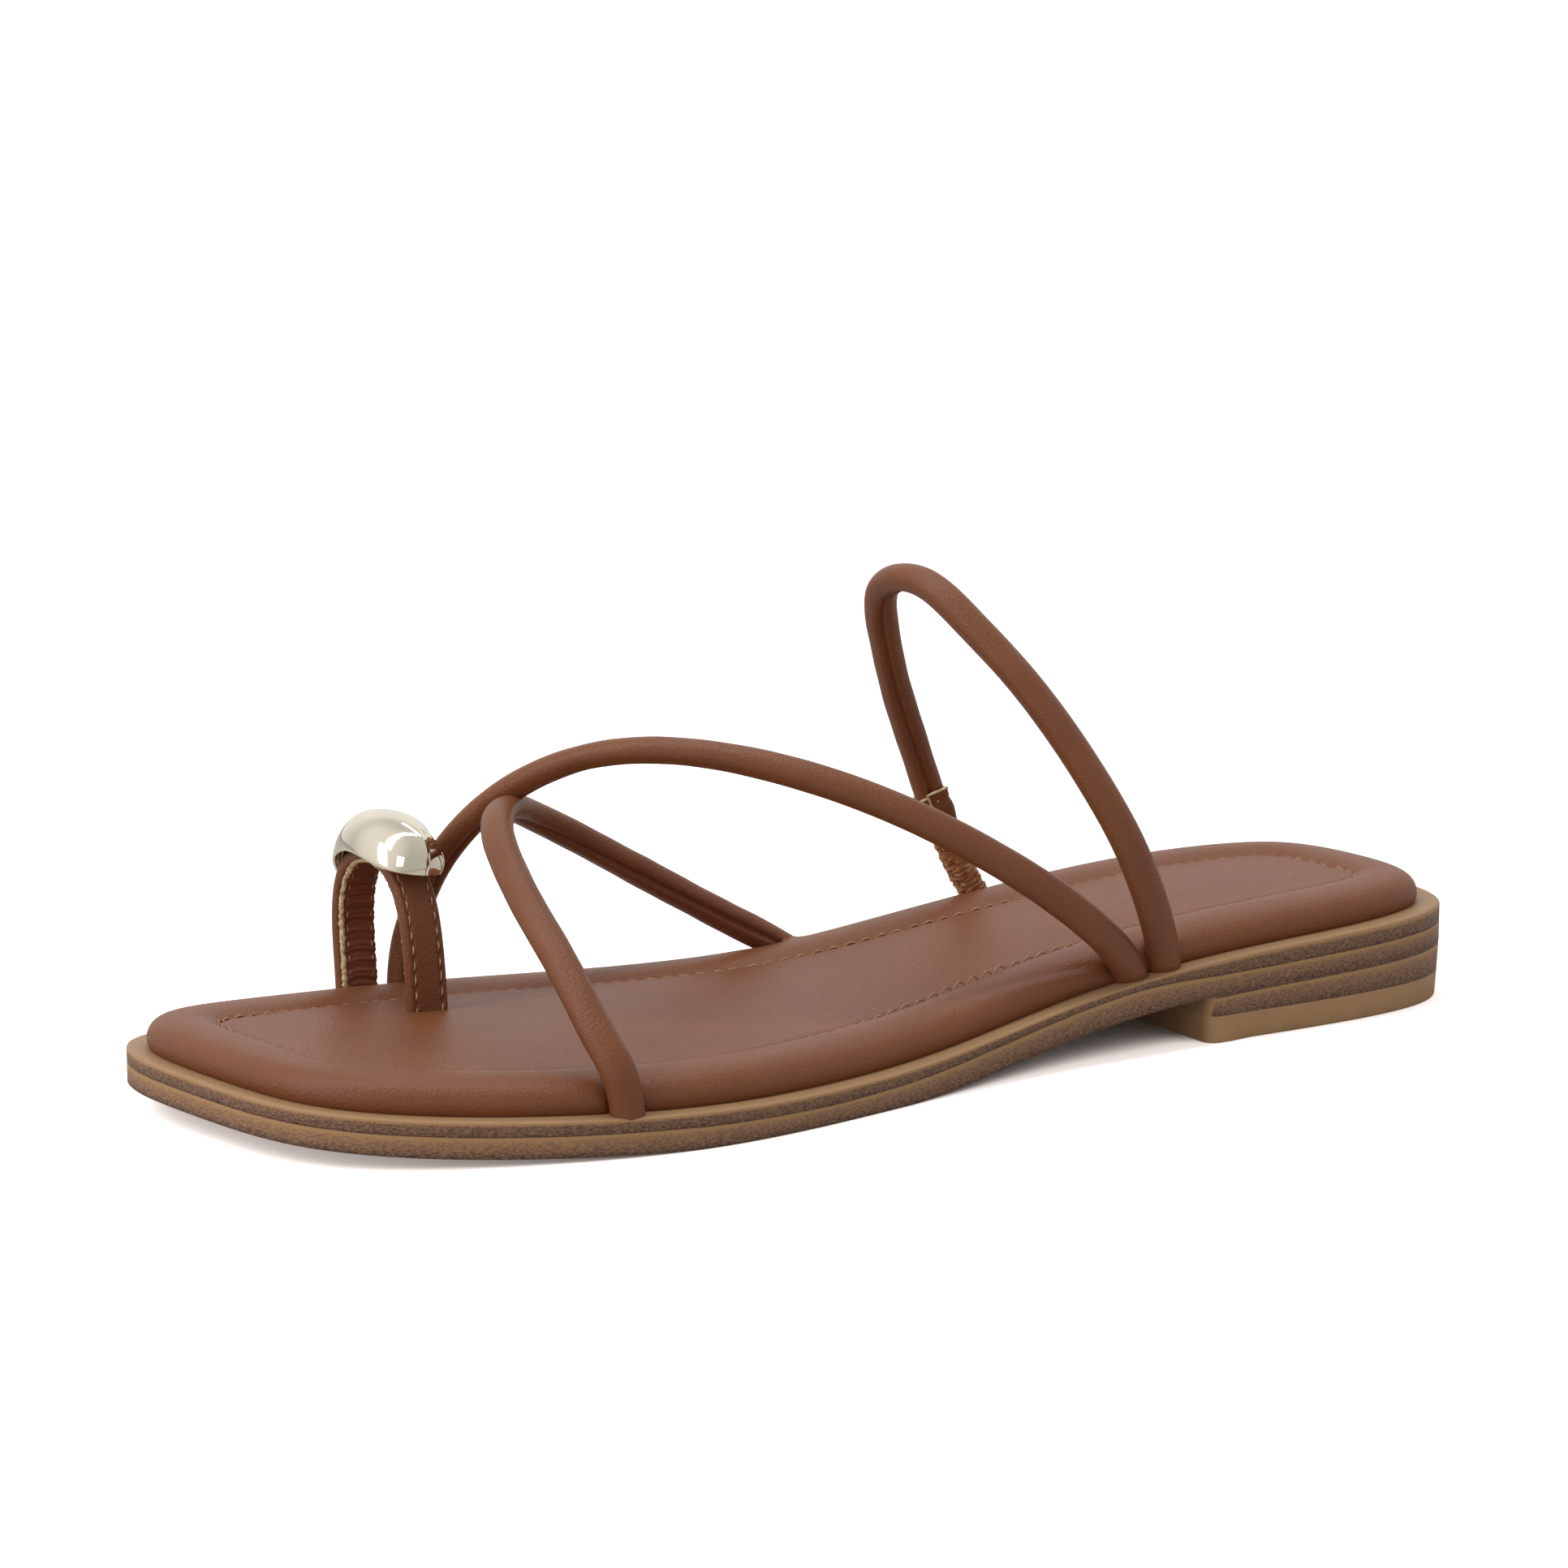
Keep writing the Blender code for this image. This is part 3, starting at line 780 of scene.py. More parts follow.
@dataclass(frozen=True)
class SoleLayers:
    """Pressed layered sole edge: tan lines between matt brown bands, speckled like stacked leather board."""

    name: str = "stacked_sole_board"
    # Ledge tone: partly the ledge's own greyer tan, partly painted shade from the rim above it
    ledge: str = "#a17f5c"
    tan: str = "#b0865a"
    mid: str = "#8d694f"
    dark: str = "#4f382d"
    speck_mm: float = 0.42
    speck_depth_mm: float = 0.06
    stretch: tuple[float, float, float] = (0.6, 0.6, 1.4)
    contrast: float = 1.8
    roughness: float = 0.5
    gloss: float = 0.3

    def build(self) -> bpy.types.Material:
        """Builds the nodes.

        Returns:
            Material of the sole's layers.
        """
        material, tree, shader = new_material(self.name)
        spot = add_node(tree, "ShaderNodeTexCoord").outputs["Object"]
        # Specks a little longer than high, as pressed fibres lie
        drawn_out = add_node(tree, "ShaderNodeMapping", {"Vector": spot, "Scale": self.stretch})
        specks = add_node(tree, "ShaderNodeTexNoise",
                          {"Vector": drawn_out.outputs[0], "Scale": per_metre(self.speck_mm), "Detail": 4.0,
                           "Roughness": 0.65})
        cover = add_node(tree, "ShaderNodeAttribute", attribute_name="specks")
        mixed = add_node(tree, "ShaderNodeMath", {0: specks.outputs["Fac"], 1: self.contrast,
                                                  2: cover.outputs["Fac"]}, operation="MULTIPLY_ADD")
        share = add_node(tree, "ShaderNodeMapRange",
                         {"Value": mixed.outputs[0], "From Min": 0.5 * self.contrast - 0.5,
                          "From Max": 0.5 * self.contrast + 1.0})
        # The ledge stop is a darker, greyer tan than the bands: partly its own tone, partly painted shade
        # from the rim
        colour = add_node(tree, "ShaderNodeValToRGB", {"Fac": share.outputs["Result"]},
                          stops=((0.1, self.ledge), (0.36, self.tan), (0.667, self.mid), (0.967, self.dark)))
        bump = add_node(tree, "ShaderNodeBump", {"Height": specks.outputs["Fac"], "Strength": 1.0,
                                                 "Distance": self.speck_depth_mm * MM})
        feed(shader, {"Base Color": colour.outputs["Color"], "Normal": bump.outputs["Normal"],
                      "Roughness": self.roughness, "Specular IOR Level": self.gloss})
        return material


@dataclass(frozen=True)
class Matt:
    """Matt finish with a fine tooth: moulded rubber, waxed thread or the raw edge of a hide."""

    name: str
    tone: str
    shade: str
    cloud_mm: float
    tooth_mm: float
    tooth_depth_mm: float
    roughness: float

    def build(self) -> bpy.types.Material:
        """Builds the nodes.

        Returns:
            Material of the finish.
        """
        material, tree, shader = new_material(self.name)
        spot = add_node(tree, "ShaderNodeTexCoord").outputs["Object"]
        cloud = add_node(tree, "ShaderNodeTexNoise",
                         {"Vector": spot, "Scale": per_metre(self.cloud_mm), "Detail": 4.0})
        colour = add_node(tree, "ShaderNodeValToRGB", {"Fac": cloud.outputs["Fac"]},
                          stops=((0.35, self.shade), (0.65, self.tone)))
        tooth = add_node(tree, "ShaderNodeTexNoise",
                         {"Vector": spot, "Scale": per_metre(self.tooth_mm), "Detail": 2.0})
        bump = add_node(tree, "ShaderNodeBump", {"Height": tooth.outputs["Fac"], "Strength": 1.0,
                                                 "Distance": self.tooth_depth_mm * MM})
        feed(shader, {"Base Color": colour.outputs["Color"], "Normal": bump.outputs["Normal"],
                      "Roughness": self.roughness})
        return material


@dataclass(frozen=True)
class Gilt:
    """Polished pale gold plating over cast metal: a mirror with faint waves."""

    name: str = "polished_gold_plate"
    tone: str = "#f3e9d6"
    shade: str = "#eadfca"
    wave_mm: float = 7.0
    wave_depth_mm: float = 0.03
    roughness: float = 0.06

    def build(self) -> bpy.types.Material:
        """Builds the nodes.

        Returns:
            Material of the plating.
        """
        material, tree, shader = new_material(self.name)
        spot = add_node(tree, "ShaderNodeTexCoord").outputs["Object"]
        swell = add_node(tree, "ShaderNodeTexNoise",
                         {"Vector": spot, "Scale": per_metre(self.wave_mm), "Detail": 1.0})
        colour = add_node(tree, "ShaderNodeValToRGB", {"Fac": swell.outputs["Fac"]},
                          stops=((0.3, self.shade), (0.7, self.tone)))
        bump = add_node(tree, "ShaderNodeBump", {"Height": swell.outputs["Fac"], "Strength": 1.0,
                                                 "Distance": self.wave_depth_mm * MM})
        feed(shader, {"Base Color": colour.outputs["Color"], "Normal": bump.outputs["Normal"],
                      "Metallic": 1.0, "Roughness": self.roughness})
        return material


@dataclass(frozen=True)
class Finishes:
    """All finishes of the sandal."""

    strap: bpy.types.Material
    footbed: bpy.types.Material
    lining: bpy.types.Material
    rough: bpy.types.Material
    sole: bpy.types.Material
    lift: bpy.types.Material
    elastic: bpy.types.Material
    gilt: bpy.types.Material
    thread: bpy.types.Material
    seam_thread: bpy.types.Material
    raw_edge: bpy.types.Material

    @classmethod
    def make(cls) -> "Finishes":
        """Builds every material once.

        Returns:
            The finishes.
        """
        return cls(
            strap=Leather("smooth_brown_cord_leather", "#7d4a2b", "#754429").build(),
            footbed=Leather("padded_brown_footbed_leather", "#7d4a2b", "#77462a", roughness=0.45).build(),
            lining=Leather("dark_brown_lining_leather", "#8a4f36", "#7a4229", roughness=0.55).build(),
            rough=Matt("rough_brown_leather_flesh", "#8f5c30", "#5b351b", 0.8, 0.5, 0.25, 0.8).build(),
            sole=SoleLayers().build(),
            lift=Matt("moulded_tan_rubber", "#b28a60", "#ac845a", 6.0, 0.5, 0.02, 0.55).build(),
            elastic=Gathered().build(),
            gilt=Gilt().build(),
            thread=Matt("cream_waxed_thread", "#d2b992", "#a88a63", 0.5, 0.3, 0.05, 0.7).build(),
            seam_thread=Matt("tan_sewing_thread", "#b88d64", "#98714e", 0.5, 0.3, 0.05, 0.7).build(),
            raw_edge=Matt("raw_cream_leather_edge", "#e9d3ab", "#b8996c", 0.9, 0.5, 0.2, 0.85).build(),
        )


@dataclass
class Sole:
    """Layered sole with its stacked heel and top lift."""

    ledge_under: float = 8.0
    heel_front: float = 64.5
    heel_corner: float = 2.4
    heel_clear: float = 1.5
    heel_taper: float = 0.6
    heel_fade: float = 5.0
    lift_height: float = 4.95
    lift_edge: float = 0.4
    corner_points: int = 9
    plain_corner: float = 1.5
    plain_slant: float = 0.6
    plain_blend: float = 0.4
    plain_specks: float = -0.9
    breast_specks: float = -0.2
    ledge_edge: float = 1.5
    heel_blend: float = 4.0
    foot_layer: float = 1.9
    toe_paler: float = 0.1
    paler_top: tuple[float, float] = (1.05, 1.3)
    paler_foot: tuple[float, float] = (1.9, 1.5)
    toe_paler_from: float = 110.0
    toe_paler_full: float = 215.0
    tread_shares: tuple[float, ...] = (0.1, 0.4, 0.7, 1.0)
    lift_bevel: tuple[float, float] = (0.1, 0.12)
    sharp: float = 50.0
    layers: tuple[LayerRow, ...] = table(
        LayerRow,
        (0.0, 0.50), (50.0, 0.49), (62.0, 0.43), (72.0, 0.30), (80.0, 0.235), (95.0, 0.25), (115.0, 0.30),
        (135.0, 0.37), (152.0, 0.43), (185.0, 0.38), (205.0, 0.40), (252.0, 0.42),
    )
    side: tuple[EdgeRow, ...] = table(
        EdgeRow,
        (0.00, 0.35, -0.60), (0.05, 0.10, -0.20), (0.12, 0.0, -0.10), (0.22, 0.0, 0.15),
        (0.32, 0.0, 0.60), (0.60, 0.0, 0.68), (0.85, 0.0, 0.76), (0.96, 0.03, 0.85), (0.99, 0.16, 0.90),
        (1.01, 0.16, 0.40), (1.03, 0.03, -0.10), (1.10, 0.0, -0.05), (1.22, 0.0, 0.34), (1.40, 0.0, 0.50),
        (1.60, 0.0, 0.60), (1.80, 0.0, 0.72), (1.95, 0.0, 0.82), (1.98, 0.10, 0.82), (2.00, 0.35, 0.60),
    )
    heel_side: tuple[EdgeRow, ...] = table(
        EdgeRow,
        (-0.05, 0.0, 0.82), (0.03, 0.0, 0.82), (0.08, 0.03, 0.85), (0.095, 0.14, 0.90),
        (0.11, 0.14, 0.40), (0.125, 0.03, -0.10), (0.18, 0.0, -0.05), (0.28, 0.0, 0.34),
        (0.45, 0.0, 0.50), (0.65, 0.0, 0.60), (0.85, 0.0, 0.72), (0.97, 0.0, 0.82), (1.00, 0.0, 0.82),
    )

    def depth(self, layer: float, station: Array) -> Array:
        """Share of the sole's thickness down to a place: to one in the upper layer, to two in the lower."""
        upper = np.interp(station, column_of(self.layers, "station"), column_of(self.layers, "share"))
        return upper * min(layer, 1.0) + (1.0 - upper) * max(layer - 1.0, 0.0)

    def band_specks(self, row: EdgeRow, ring: Array) -> Array:
        """Share of dark specks round one row: the lower layer stays tan further down towards the toe.

        Args:
            row: Row of the side.
            ring: Stations and offsets of the row.

        Returns:
            One share for each point, with the first repeated at the end.
        """
        layer = np.array(row.layer)
        paler = eased(layer, *self.paler_top) * eased(layer, *self.paler_foot)
        forward = eased(ring[:, 0], self.toe_paler_from, self.toe_paler_full)
        specks = row.specks - self.toe_paler * paler * forward
        return np.append(specks, specks[:1])

    def build_sole(self, finish: bpy.types.Material) -> bpy.types.Object:
        """Sole from the middle of its top over the ledge and its banded side to the middle of the tread.

        Args:
            finish: Its material.

        Returns:
            The piece.
        """
        rows, specks = [], []
        plain = np.full(2 * LAST.half_points + 1, self.plain_specks)
        for inset, middle in ((self.ledge_under, 1.0), (self.ledge_under, 0.0), (self.ledge_edge, 0.0)):
            ring = LAST.ring(inset, middle)
            rows.append(ring_at(ring, LAST.top(ring[:, 0])))
            specks.append(plain)
        # The foot of the side is set in only where no heel stands under it
        free = eased(LAST.edge[:, 0], self.heel_front - self.heel_blend, self.heel_front + self.heel_blend)
        for row in self.side:
            ring = LAST.ring(row.inset * (free if row.layer > self.foot_layer else 1.0))
            top, bottom = LAST.top(ring[:, 0]), LAST.bottom(ring[:, 0])
            rows.append(ring_at(ring, top + (bottom - top) * self.depth(row.layer, ring[:, 0])))
            specks.append(self.band_specks(row, ring))
        for middle in self.tread_shares:
            ring = LAST.ring(self.side[-1].inset, middle)
            rows.append(ring_at(ring, LAST.bottom(ring[:, 0])))
            specks.append(plain)
        bm = bmesh.new()
        add_surface(bm, np.array(rows), specks=np.array(specks))
        return make_piece(bm, "outsole", finish, ["outsole"], sharp=self.sharp)

    def heel_ring(self, inset: float) -> Array:
        """Back of the outline, closed by the straight breast of the heel with rounded corners.

        Args:
            inset: Distance that the outline is set in, which runs out towards the breast.

        Returns:
            Stations and offsets.
        """
        fade = np.clip((self.heel_front - LAST.edge[:, 0]) / self.heel_fade - 1.0, 0.0, 1.0)
        outline = LAST.ring(inset * fade)
        front = self.heel_front - self.heel_corner
        half = np.arange(LAST.half_points)
        angles = np.linspace(0.0, 0.5 * math.pi, self.corner_points)
        sides = []
        for order in (half, -half):
            kept = order[LAST.edge[order, 0] < self.heel_front - self.heel_clear * self.heel_corner]
            edge = np.interp(front, outline[order, 0], outline[order, 1])
            turn = math.copysign(self.heel_corner, edge)
            stations = front + self.heel_corner * np.sin(angles)
            corner = np.column_stack([stations, edge - turn * (1.0 - np.cos(angles))])
            sides.append(np.vstack([outline[kept], corner]))
        return np.vstack([sides[0], sides[1][:0:-1]])

    def stacked(self, rings: Sequence[Array], heights: Sequence[Array]) -> Array:
        """Surface through rings, closed to a point above and below.

        Args:
            rings: Stations and offsets of each ring.
            heights: Heights of each ring.

        Returns:
            Rows of stations, offsets and heights.
        """
        rows = [ring_at(ring, height) for ring, height in zip(rings, heights)]
        first = np.broadcast_to(rows[0].mean(axis=0), rows[0].shape)
        last = np.broadcast_to(rows[-1].mean(axis=0), rows[-1].shape)
        return np.array([first, *rows, last])

    def build_heel(self, finish: bpy.types.Material) -> bpy.types.Object:
        """Heel block: the foot of the sole's lower layer, then one layer more, with a plain breast.

        Args:
            finish: Its material.

        Returns:
            The piece.
        """
        rings, heights, specks = [], [], []
        for row in self.heel_side:
            ring = self.heel_ring(row.inset + 0.5 * self.heel_taper * row.layer)
            top = LAST.bottom(ring[:, 0])
            rings.append(ring)
            heights.append(top + (self.lift_height - top) * row.layer)
            corner = self.heel_front - self.plain_corner + self.plain_slant * row.layer
            plain = eased(ring[:, 0], corner, corner + self.plain_blend)
            shown = row.specks * (1.0 - plain) + self.breast_specks * plain
            specks.append(np.append(shown, shown[:1]))
        specks = [specks[0], *specks, specks[-1]]
        bm = bmesh.new()
        add_surface(bm, self.stacked(rings, heights), specks=np.array(specks))
        return make_piece(bm, "heel_block", finish, ["heel_block"], sharp=self.sharp)

    def build_lift(self, finish: bpy.types.Material) -> bpy.types.Object:
        """Top lift, flush with the block above it, with its lower edge taken off.

        Args:
            finish: Its material.

        Returns:
            The piece.
        """
        rings, heights = [], []
        upper = ((self.lift_height, 0.0), (self.lift_edge, 0.0))
        for height, inset in (*upper, self.lift_bevel, (0.0, self.lift_edge)):
            share = 1.0 - 0.5 * height / self.lift_height
            ring = self.heel_ring(inset + self.heel_taper * share)
            rings.append(ring)
            heights.append(np.full(len(ring), height))
        bm = bmesh.new()
        add_surface(bm, self.stacked(rings, heights))
        return make_piece(bm, "top_lift", finish, ["top_lift"], sharp=self.sharp)

    def build(self, finishes: Finishes) -> None:
        """Builds the sole, the heel block and the top lift.

        Args:
            finishes: Materials to dress it with.
        """
        self.build_sole(finishes.sole)
        self.build_heel(finishes.sole)
        self.build_lift(finishes.lift)


@dataclass
class Footbed:
    """Padded footbed: puffed rim, sewn seam and soft inner panel."""

    ledge: float = 3.5
    sink: float = 0.35
    crown: float = 0.35
    rim_rows: int = 58
    seam_inset: float = 12.5
    seam_width: float = 1.1
    pucker_height: float = 0.3
    pucker_reach: float = 0.2
    pucker_drift: tuple[float, float] = (0.25, 17.3)
    cord_press: float = 2.75
    press_reach: float = 2.6
    root_length: float = 26.0
    stitch: Stitch = Stitch(3.3, 3.1, 0.38, 0.25, 0.5)
    crease_width: float = 1.4
    heel_ledge: float = 0.8
    heel_draw: tuple[float, float] = (40.0, 5.0)
    underside: float = 0.6
    seam_density: float = 4.0
    scallop_power: float = 0.7
    scallop_level: float = 0.6
    panel_shares: tuple[float, ...] = (0.05, 0.12, 0.2, 0.3, 0.45, 0.6, 0.75, 0.88, 1.0)
    root_step: float = 0.7
    thread_tilt: float = 0.1
    rim: tuple[RimRow, ...] = table(
        RimRow,
        (0.5, -0.1), (0.1, 0.8), (0.0, 2.0), (0.8, 3.9), (2.6, 5.25), (5.0, 5.85), (7.6, 6.0),
        (9.8, 5.75), (11.2, 5.32), (12.0, 4.97), (12.4, 4.8), (12.65, 4.74), (12.95, 4.8), (13.4, 4.9),
        (14.2, 4.97), (15.5, 5.0),
    )
    seam_rows: tuple[SeamRow, ...] = table(
        SeamRow,
        (0.0, 0.8, 0.4, 0.4), (8.0, 0.7, 0.3, 0.1), (20.0, 0.4, -0.1, -0.15), (70.0, 0.5, -0.1, -0.1),
        (78.0, 0.7, 0.0, 0.2), (92.0, 0.9, 0.6, 0.26), (104.0, 0.9, 1.0, 0.26), (113.0, 0.9, 1.0, 0.26),
        (121.0, 0.8, 0.7, 0.15), (128.0, 0.7, 0.45, 0.05), (137.0, 0.5, 0.0, 0.0),
        (160.0, 0.3, -0.1, -0.12), (218.0, 0.3, -0.1, -0.12), (228.0, 0.4, -0.1, 0.2),
        (238.0, 0.5, -0.1, 0.35), (246.0, 0.6, -0.1, 0.3), (252.0, 0.6, 0.0, 0.1),
    )
    # Soft crease that runs forward from the foot of the instep cord
    creases: tuple[CreaseRow, ...] = table(
        CreaseRow,
        (81.0, 2.0, 0.0), (84.0, 2.6, 0.45), (88.0, 4.8, 0.6), (95.0, 6.6, 0.55), (103.0, 8.0, 0.4),
        (112.0, 8.6, 0.2), (122.0, 8.8, 0.0),
    )

    def along_seam(self, name: str, station: Array) -> Array:
        """One column of the seam's table at stations."""
        return np.interp(station, column_of(self.seam_rows, "station"), column_of(self.seam_rows, name))

    def crease(self, way: float) -> Array:
        """Depth of the crease at a distance up the rim.

        Args:
            way: Distance up the rim's section.

        Returns:
            One depth for each point of the outline.
        """
        station = LAST.edge[:, 0]
        middle = np.interp(station, column_of(self.creases, "station"), column_of(self.creases, "way"))
        depth = np.interp(station, column_of(self.creases, "station"), column_of(self.creases, "depth"))
        return np.where(LAST.edge[:, 1] > 0.0, depth, 0.0) * bell(way - middle, 0.0, self.crease_width)

    def inset_ring(self, inset: float | Array, middle: float = 0.0) -> Array:
        """Outline at a distance from the footbed's edge, which draws back a little behind the heel.

        Args:
            inset: Distance from the edge, the same all round or one for each point.
            middle: Share of the way to the middle line.

        Returns:
            Stations and offsets.
        """
        behind = self.heel_ledge * eased(LAST.edge[:, 0], *self.heel_draw)
        drawn_in = behind * np.clip(1.0 - inset / self.seam_inset, 0.0, 1.0)
        return LAST.ring(self.ledge + inset + drawn_in, middle)

    def seam(self) -> tuple[Array, Array]:
        """Line of the seam.

        Returns:
            Points of the seam and their distances along it.
        """
        ring = self.inset_ring(self.seam_inset)
        inner = self.rim[2:]
        depth = np.interp(self.seam_inset, column_of(inner, "inset"), column_of(inner, "height"))
        line = ring_at(ring, LAST.top(ring[:, 0]) + depth)
        return line, distances(line)

    def surface(self) -> Array:
        """Surface from the footbed's underside over the rim to the middle of the panel.

        Returns:
            Rows of stations, offsets and heights.
        """
        section = drawn(self.rim)
        # Rows stand closer together at the seam
        at_seam = bell(section[:, 0], self.seam_inset, 2.0 * self.seam_width)
        closer = np.cumsum(1.0 + self.seam_density * at_seam)
        section = rows_at(section, closer, np.linspace(closer[0], closer[-1], self.rim_rows))
        along = self.seam()[1]
        scallop = np.abs(np.sin(math.pi * along[:-1] / self.stitch.pitch)) ** self.scallop_power
        scallop = scallop - self.scallop_level
        drift, pitch = self.pucker_drift
        pull = scallop * self.along_seam("pull", LAST.edge[:, 0]) * (1.0 + drift * wave(along[:-1], pitch))
        rows = []
        for middle in (1.0, 0.0):
            ring = self.inset_ring(section[0, 0] + self.underside, middle)
            rows.append(ring_at(ring, LAST.top(ring[:, 0]) - self.sink))
        slope = unit(np.gradient(section, axis=0))
        for (inset, height), (run, climb), way in zip(section, slope, distances(section)):
            near = bell(np.array(inset), self.seam_inset, self.seam_width)
            dent = self.crease(way)
            ring = self.inset_ring(inset + dent * climb + pull * self.pucker_reach * near)
            level = height - dent * run + pull * self.pucker_height * near
            rows.append(ring_at(ring, LAST.top(ring[:, 0]) + level))
        for middle in self.panel_shares:
            ring = self.inset_ring(section[-1, 0], middle)
            crown = self.crown * math.sin(0.5 * math.pi * middle)
            rows.append(ring_at(ring, LAST.top(ring[:, 0]) + section[-1, 1] + crown))
        return np.array(rows)

    def build(self, finishes: Finishes) -> None:
        """Builds the footbed, dented by the straps, and the thread of its seam.

        Args:
            finishes: Materials to dress it with.
        """
        surface = self.surface()
        for route in (INSTEP_ROUTE, VAMP_ROUTE, ANKLE_ROUTE):
            line = drawn(route)
            for way in (line, line[::-1]):
                root = at_marks(way, np.arange(0.0, self.root_length, self.root_step))
                surface[2:] = pressed(surface[2:], root, self.cord_press, self.press_reach)
        bm = bmesh.new()
        add_surface(bm, surface)
        footbed = make_piece(bm, "footbed", finishes.footbed, ["footbed"])
        line, _ = self.seam()
        outward = np.vstack([LAST.normal, LAST.normal[:1]])
        lift = unit(np.column_stack([self.thread_tilt * outward, np.ones(len(outward))]))
        lateral = np.append(np.arange(len(LAST.edge)) < LAST.half_points, True)
        sides = [self.along_seam(name, line[:, 0]) for name in ("lateral", "medial")]
        rise = np.where(lateral, *sides)
        bm = bmesh.new()
        add_stitches(bm, line, lift, self.stitch, rise)
        make_piece(bm, "footbed_stitches", finishes.seam_thread)


@dataclass
class Cords:
    """Rolled leather cords: two that cross over the foot, and the ankle strap with its elastic."""

    width: float = 5.8
    thickness: float = 4.6
    groove: float = 0.7
    groove_width: float = 0.36
    roll: float = 0.16
    roll_place: float = 1.4
    roll_width: float = 0.8
    slow_swell: tuple[float, float] = (0.012, 23.0)
    quick_swell: tuple[float, float] = (0.008, 9.1)
    full_share: float = 0.65
    sides: int = 56
    step: float = 1.0
    fine_step: float = 0.2
    overlap: float = 1.0
    cuff_sides: int = 120
    cuff_points: int = 25
    cuff_start: float = 155.9
    cuff_length: float = 6.5
    cuff_size: tuple[float, float] = (6.2, 5.4)
    cuff_raise: float = 1.3
    cuff_flap: float = 3.2
    flap_angle: float = 260.0
    flap_step: float = 0.95
    flap_thickness: float = 0.5
    flap_blend: float = 1.5
    flap_end: tuple[float, float] = (359.0, 320.0)
    cuff_roundness: float = 0.75
    neck_depth: float = 0.05
    neck_below: float = 0.05
    neck_width: float = 0.07
    belly_height: float = 0.04
    belly_share: float = 0.55
    belly_width: float = 0.2
    foot_depth: float = 0.1
    foot_power: int = 4
    edge_angle: float = 1.0
    edge_radius: float = 0.25
    edge_ragged: float = 0.3
    edge_grain: float = 0.9
    edge_side: tuple[float, float, float] = (0.3, 0.5, 0.8)
    dot_angles: tuple[float, float] = (275.0, 316.0)
    dot_radius: float = 0.22
    dot_share: float = 0.24
    gore_size: tuple[float, float] = (5.4, 4.0)
    gore_roundness: float = 0.8
    gore_sides: int = 64
    gore_overlap: float = 0.6
    fold_size: float = 1.15
    fold_height: float = 0.6
    fold_closeness: float = 1.9
    fold_width: float = 2.2
    fold_contrast: float = 0.9
    fold_level: float = 0.6

    def section(self, frames: Frames, phase: float, fuller: float, reach: float) -> Array:
        """Oval of the rolled cord with its closed seam below, a little uneven along its way.

        Args:
            frames: Frames of the cord.
            phase: Where its unevenness starts.
            fuller: Share by which its lateral leg is thicker.
            reach: Distance from its lateral end at which that has run out.

        Returns:
            Distances across and out for each frame.
        """
        angle = np.linspace(-0.5 * math.pi, 1.5 * math.pi, self.sides + 1)
        across = 0.5 * self.width * np.cos(angle)
        out = 0.5 * self.thickness * np.sin(angle)
        seam = self.groove * bell(across, 0.0, self.groove_width)
        seam = seam - self.roll * bell(np.abs(across), self.roll_place, self.roll_width)
        out = out + np.where(np.sin(angle) < 0.0, seam, 0.0)
        (slow, slow_pitch), (quick, quick_pitch) = self.slow_swell, self.quick_swell
        swell = 1.0 + slow * wave(frames.along, slow_pitch, phase)
        swell = swell + quick * wave(frames.along, quick_pitch, 2.0 * phase)
        full = 1.0 + fuller * eased(frames.along, reach, self.full_share * reach)
        return np.stack([across * (full * swell)[:, None], out * (full * (2.0 - swell))[:, None]], axis=-1)

    def add_cord(self, bm: bmesh.types.BMesh, route: Sequence[RoutePoint], phase: float, fuller: float,
                 reach: float, end: float | None = None) -> None:
        """Adds one rolled cord.

        Args:
            bm: Mesh that takes the cord.
            route: Points of its middle line.
            phase: Where its unevenness starts.
            fuller: Share by which its lateral leg is thicker.
            reach: Distance from its lateral end at which that has run out.
            end: Distance at which the cord ends, or None for the route's end.
        """
        frames = frames_along(route, FOOT_AXIS, self.step, 0.0, end)
        add_surface(bm, swept(frames, self.section(frames, phase, fuller, reach)))

    def band(self, size: tuple[float, float], angle: Array, roundness: float) -> Array:
        """Rounded flat section.

        Args:
            size: Width and thickness.
            angle: Angles round the section.
            roundness: Power that squares the oval off, where one leaves it plain.

        Returns:
            Distances across and out.
        """
        cosine, sine = np.cos(angle), np.sin(angle)
        across = 0.5 * size[0] * np.sign(cosine) * np.abs(cosine) ** roundness
        out = 0.5 * size[1] * np.sign(sine) * np.abs(sine) ** roundness
        return np.stack([across, out], axis=-1)

    def cuff_spots(self, angle: Array, share: Array, grow: float = 0.0) -> Array:
        """Points of the cuff.

        Args:
            angle: Angles round the section.
            share: Share of the cuff's length for each angle.
            grow: How far out of the cuff's surface.

        Returns:
            Stations, offsets and heights.
        """
        end = self.cuff_start + self.cuff_length
        above = self.cuff_start - self.cuff_raise - self.overlap
        frames = frames_along(ANKLE_ROUTE, FOOT_AXIS, self.fine_step, above, end)
        degrees = np.degrees(angle)
        lapped = eased(degrees, self.flap_angle - self.flap_blend, self.flap_angle + self.flap_blend)
        lapped = lapped * eased(degrees, *self.flap_end)
        start = self.cuff_start - self.cuff_raise * np.maximum(-np.sin(angle), 0.0) - self.flap_step * lapped
        marks = start + (end - start) * share
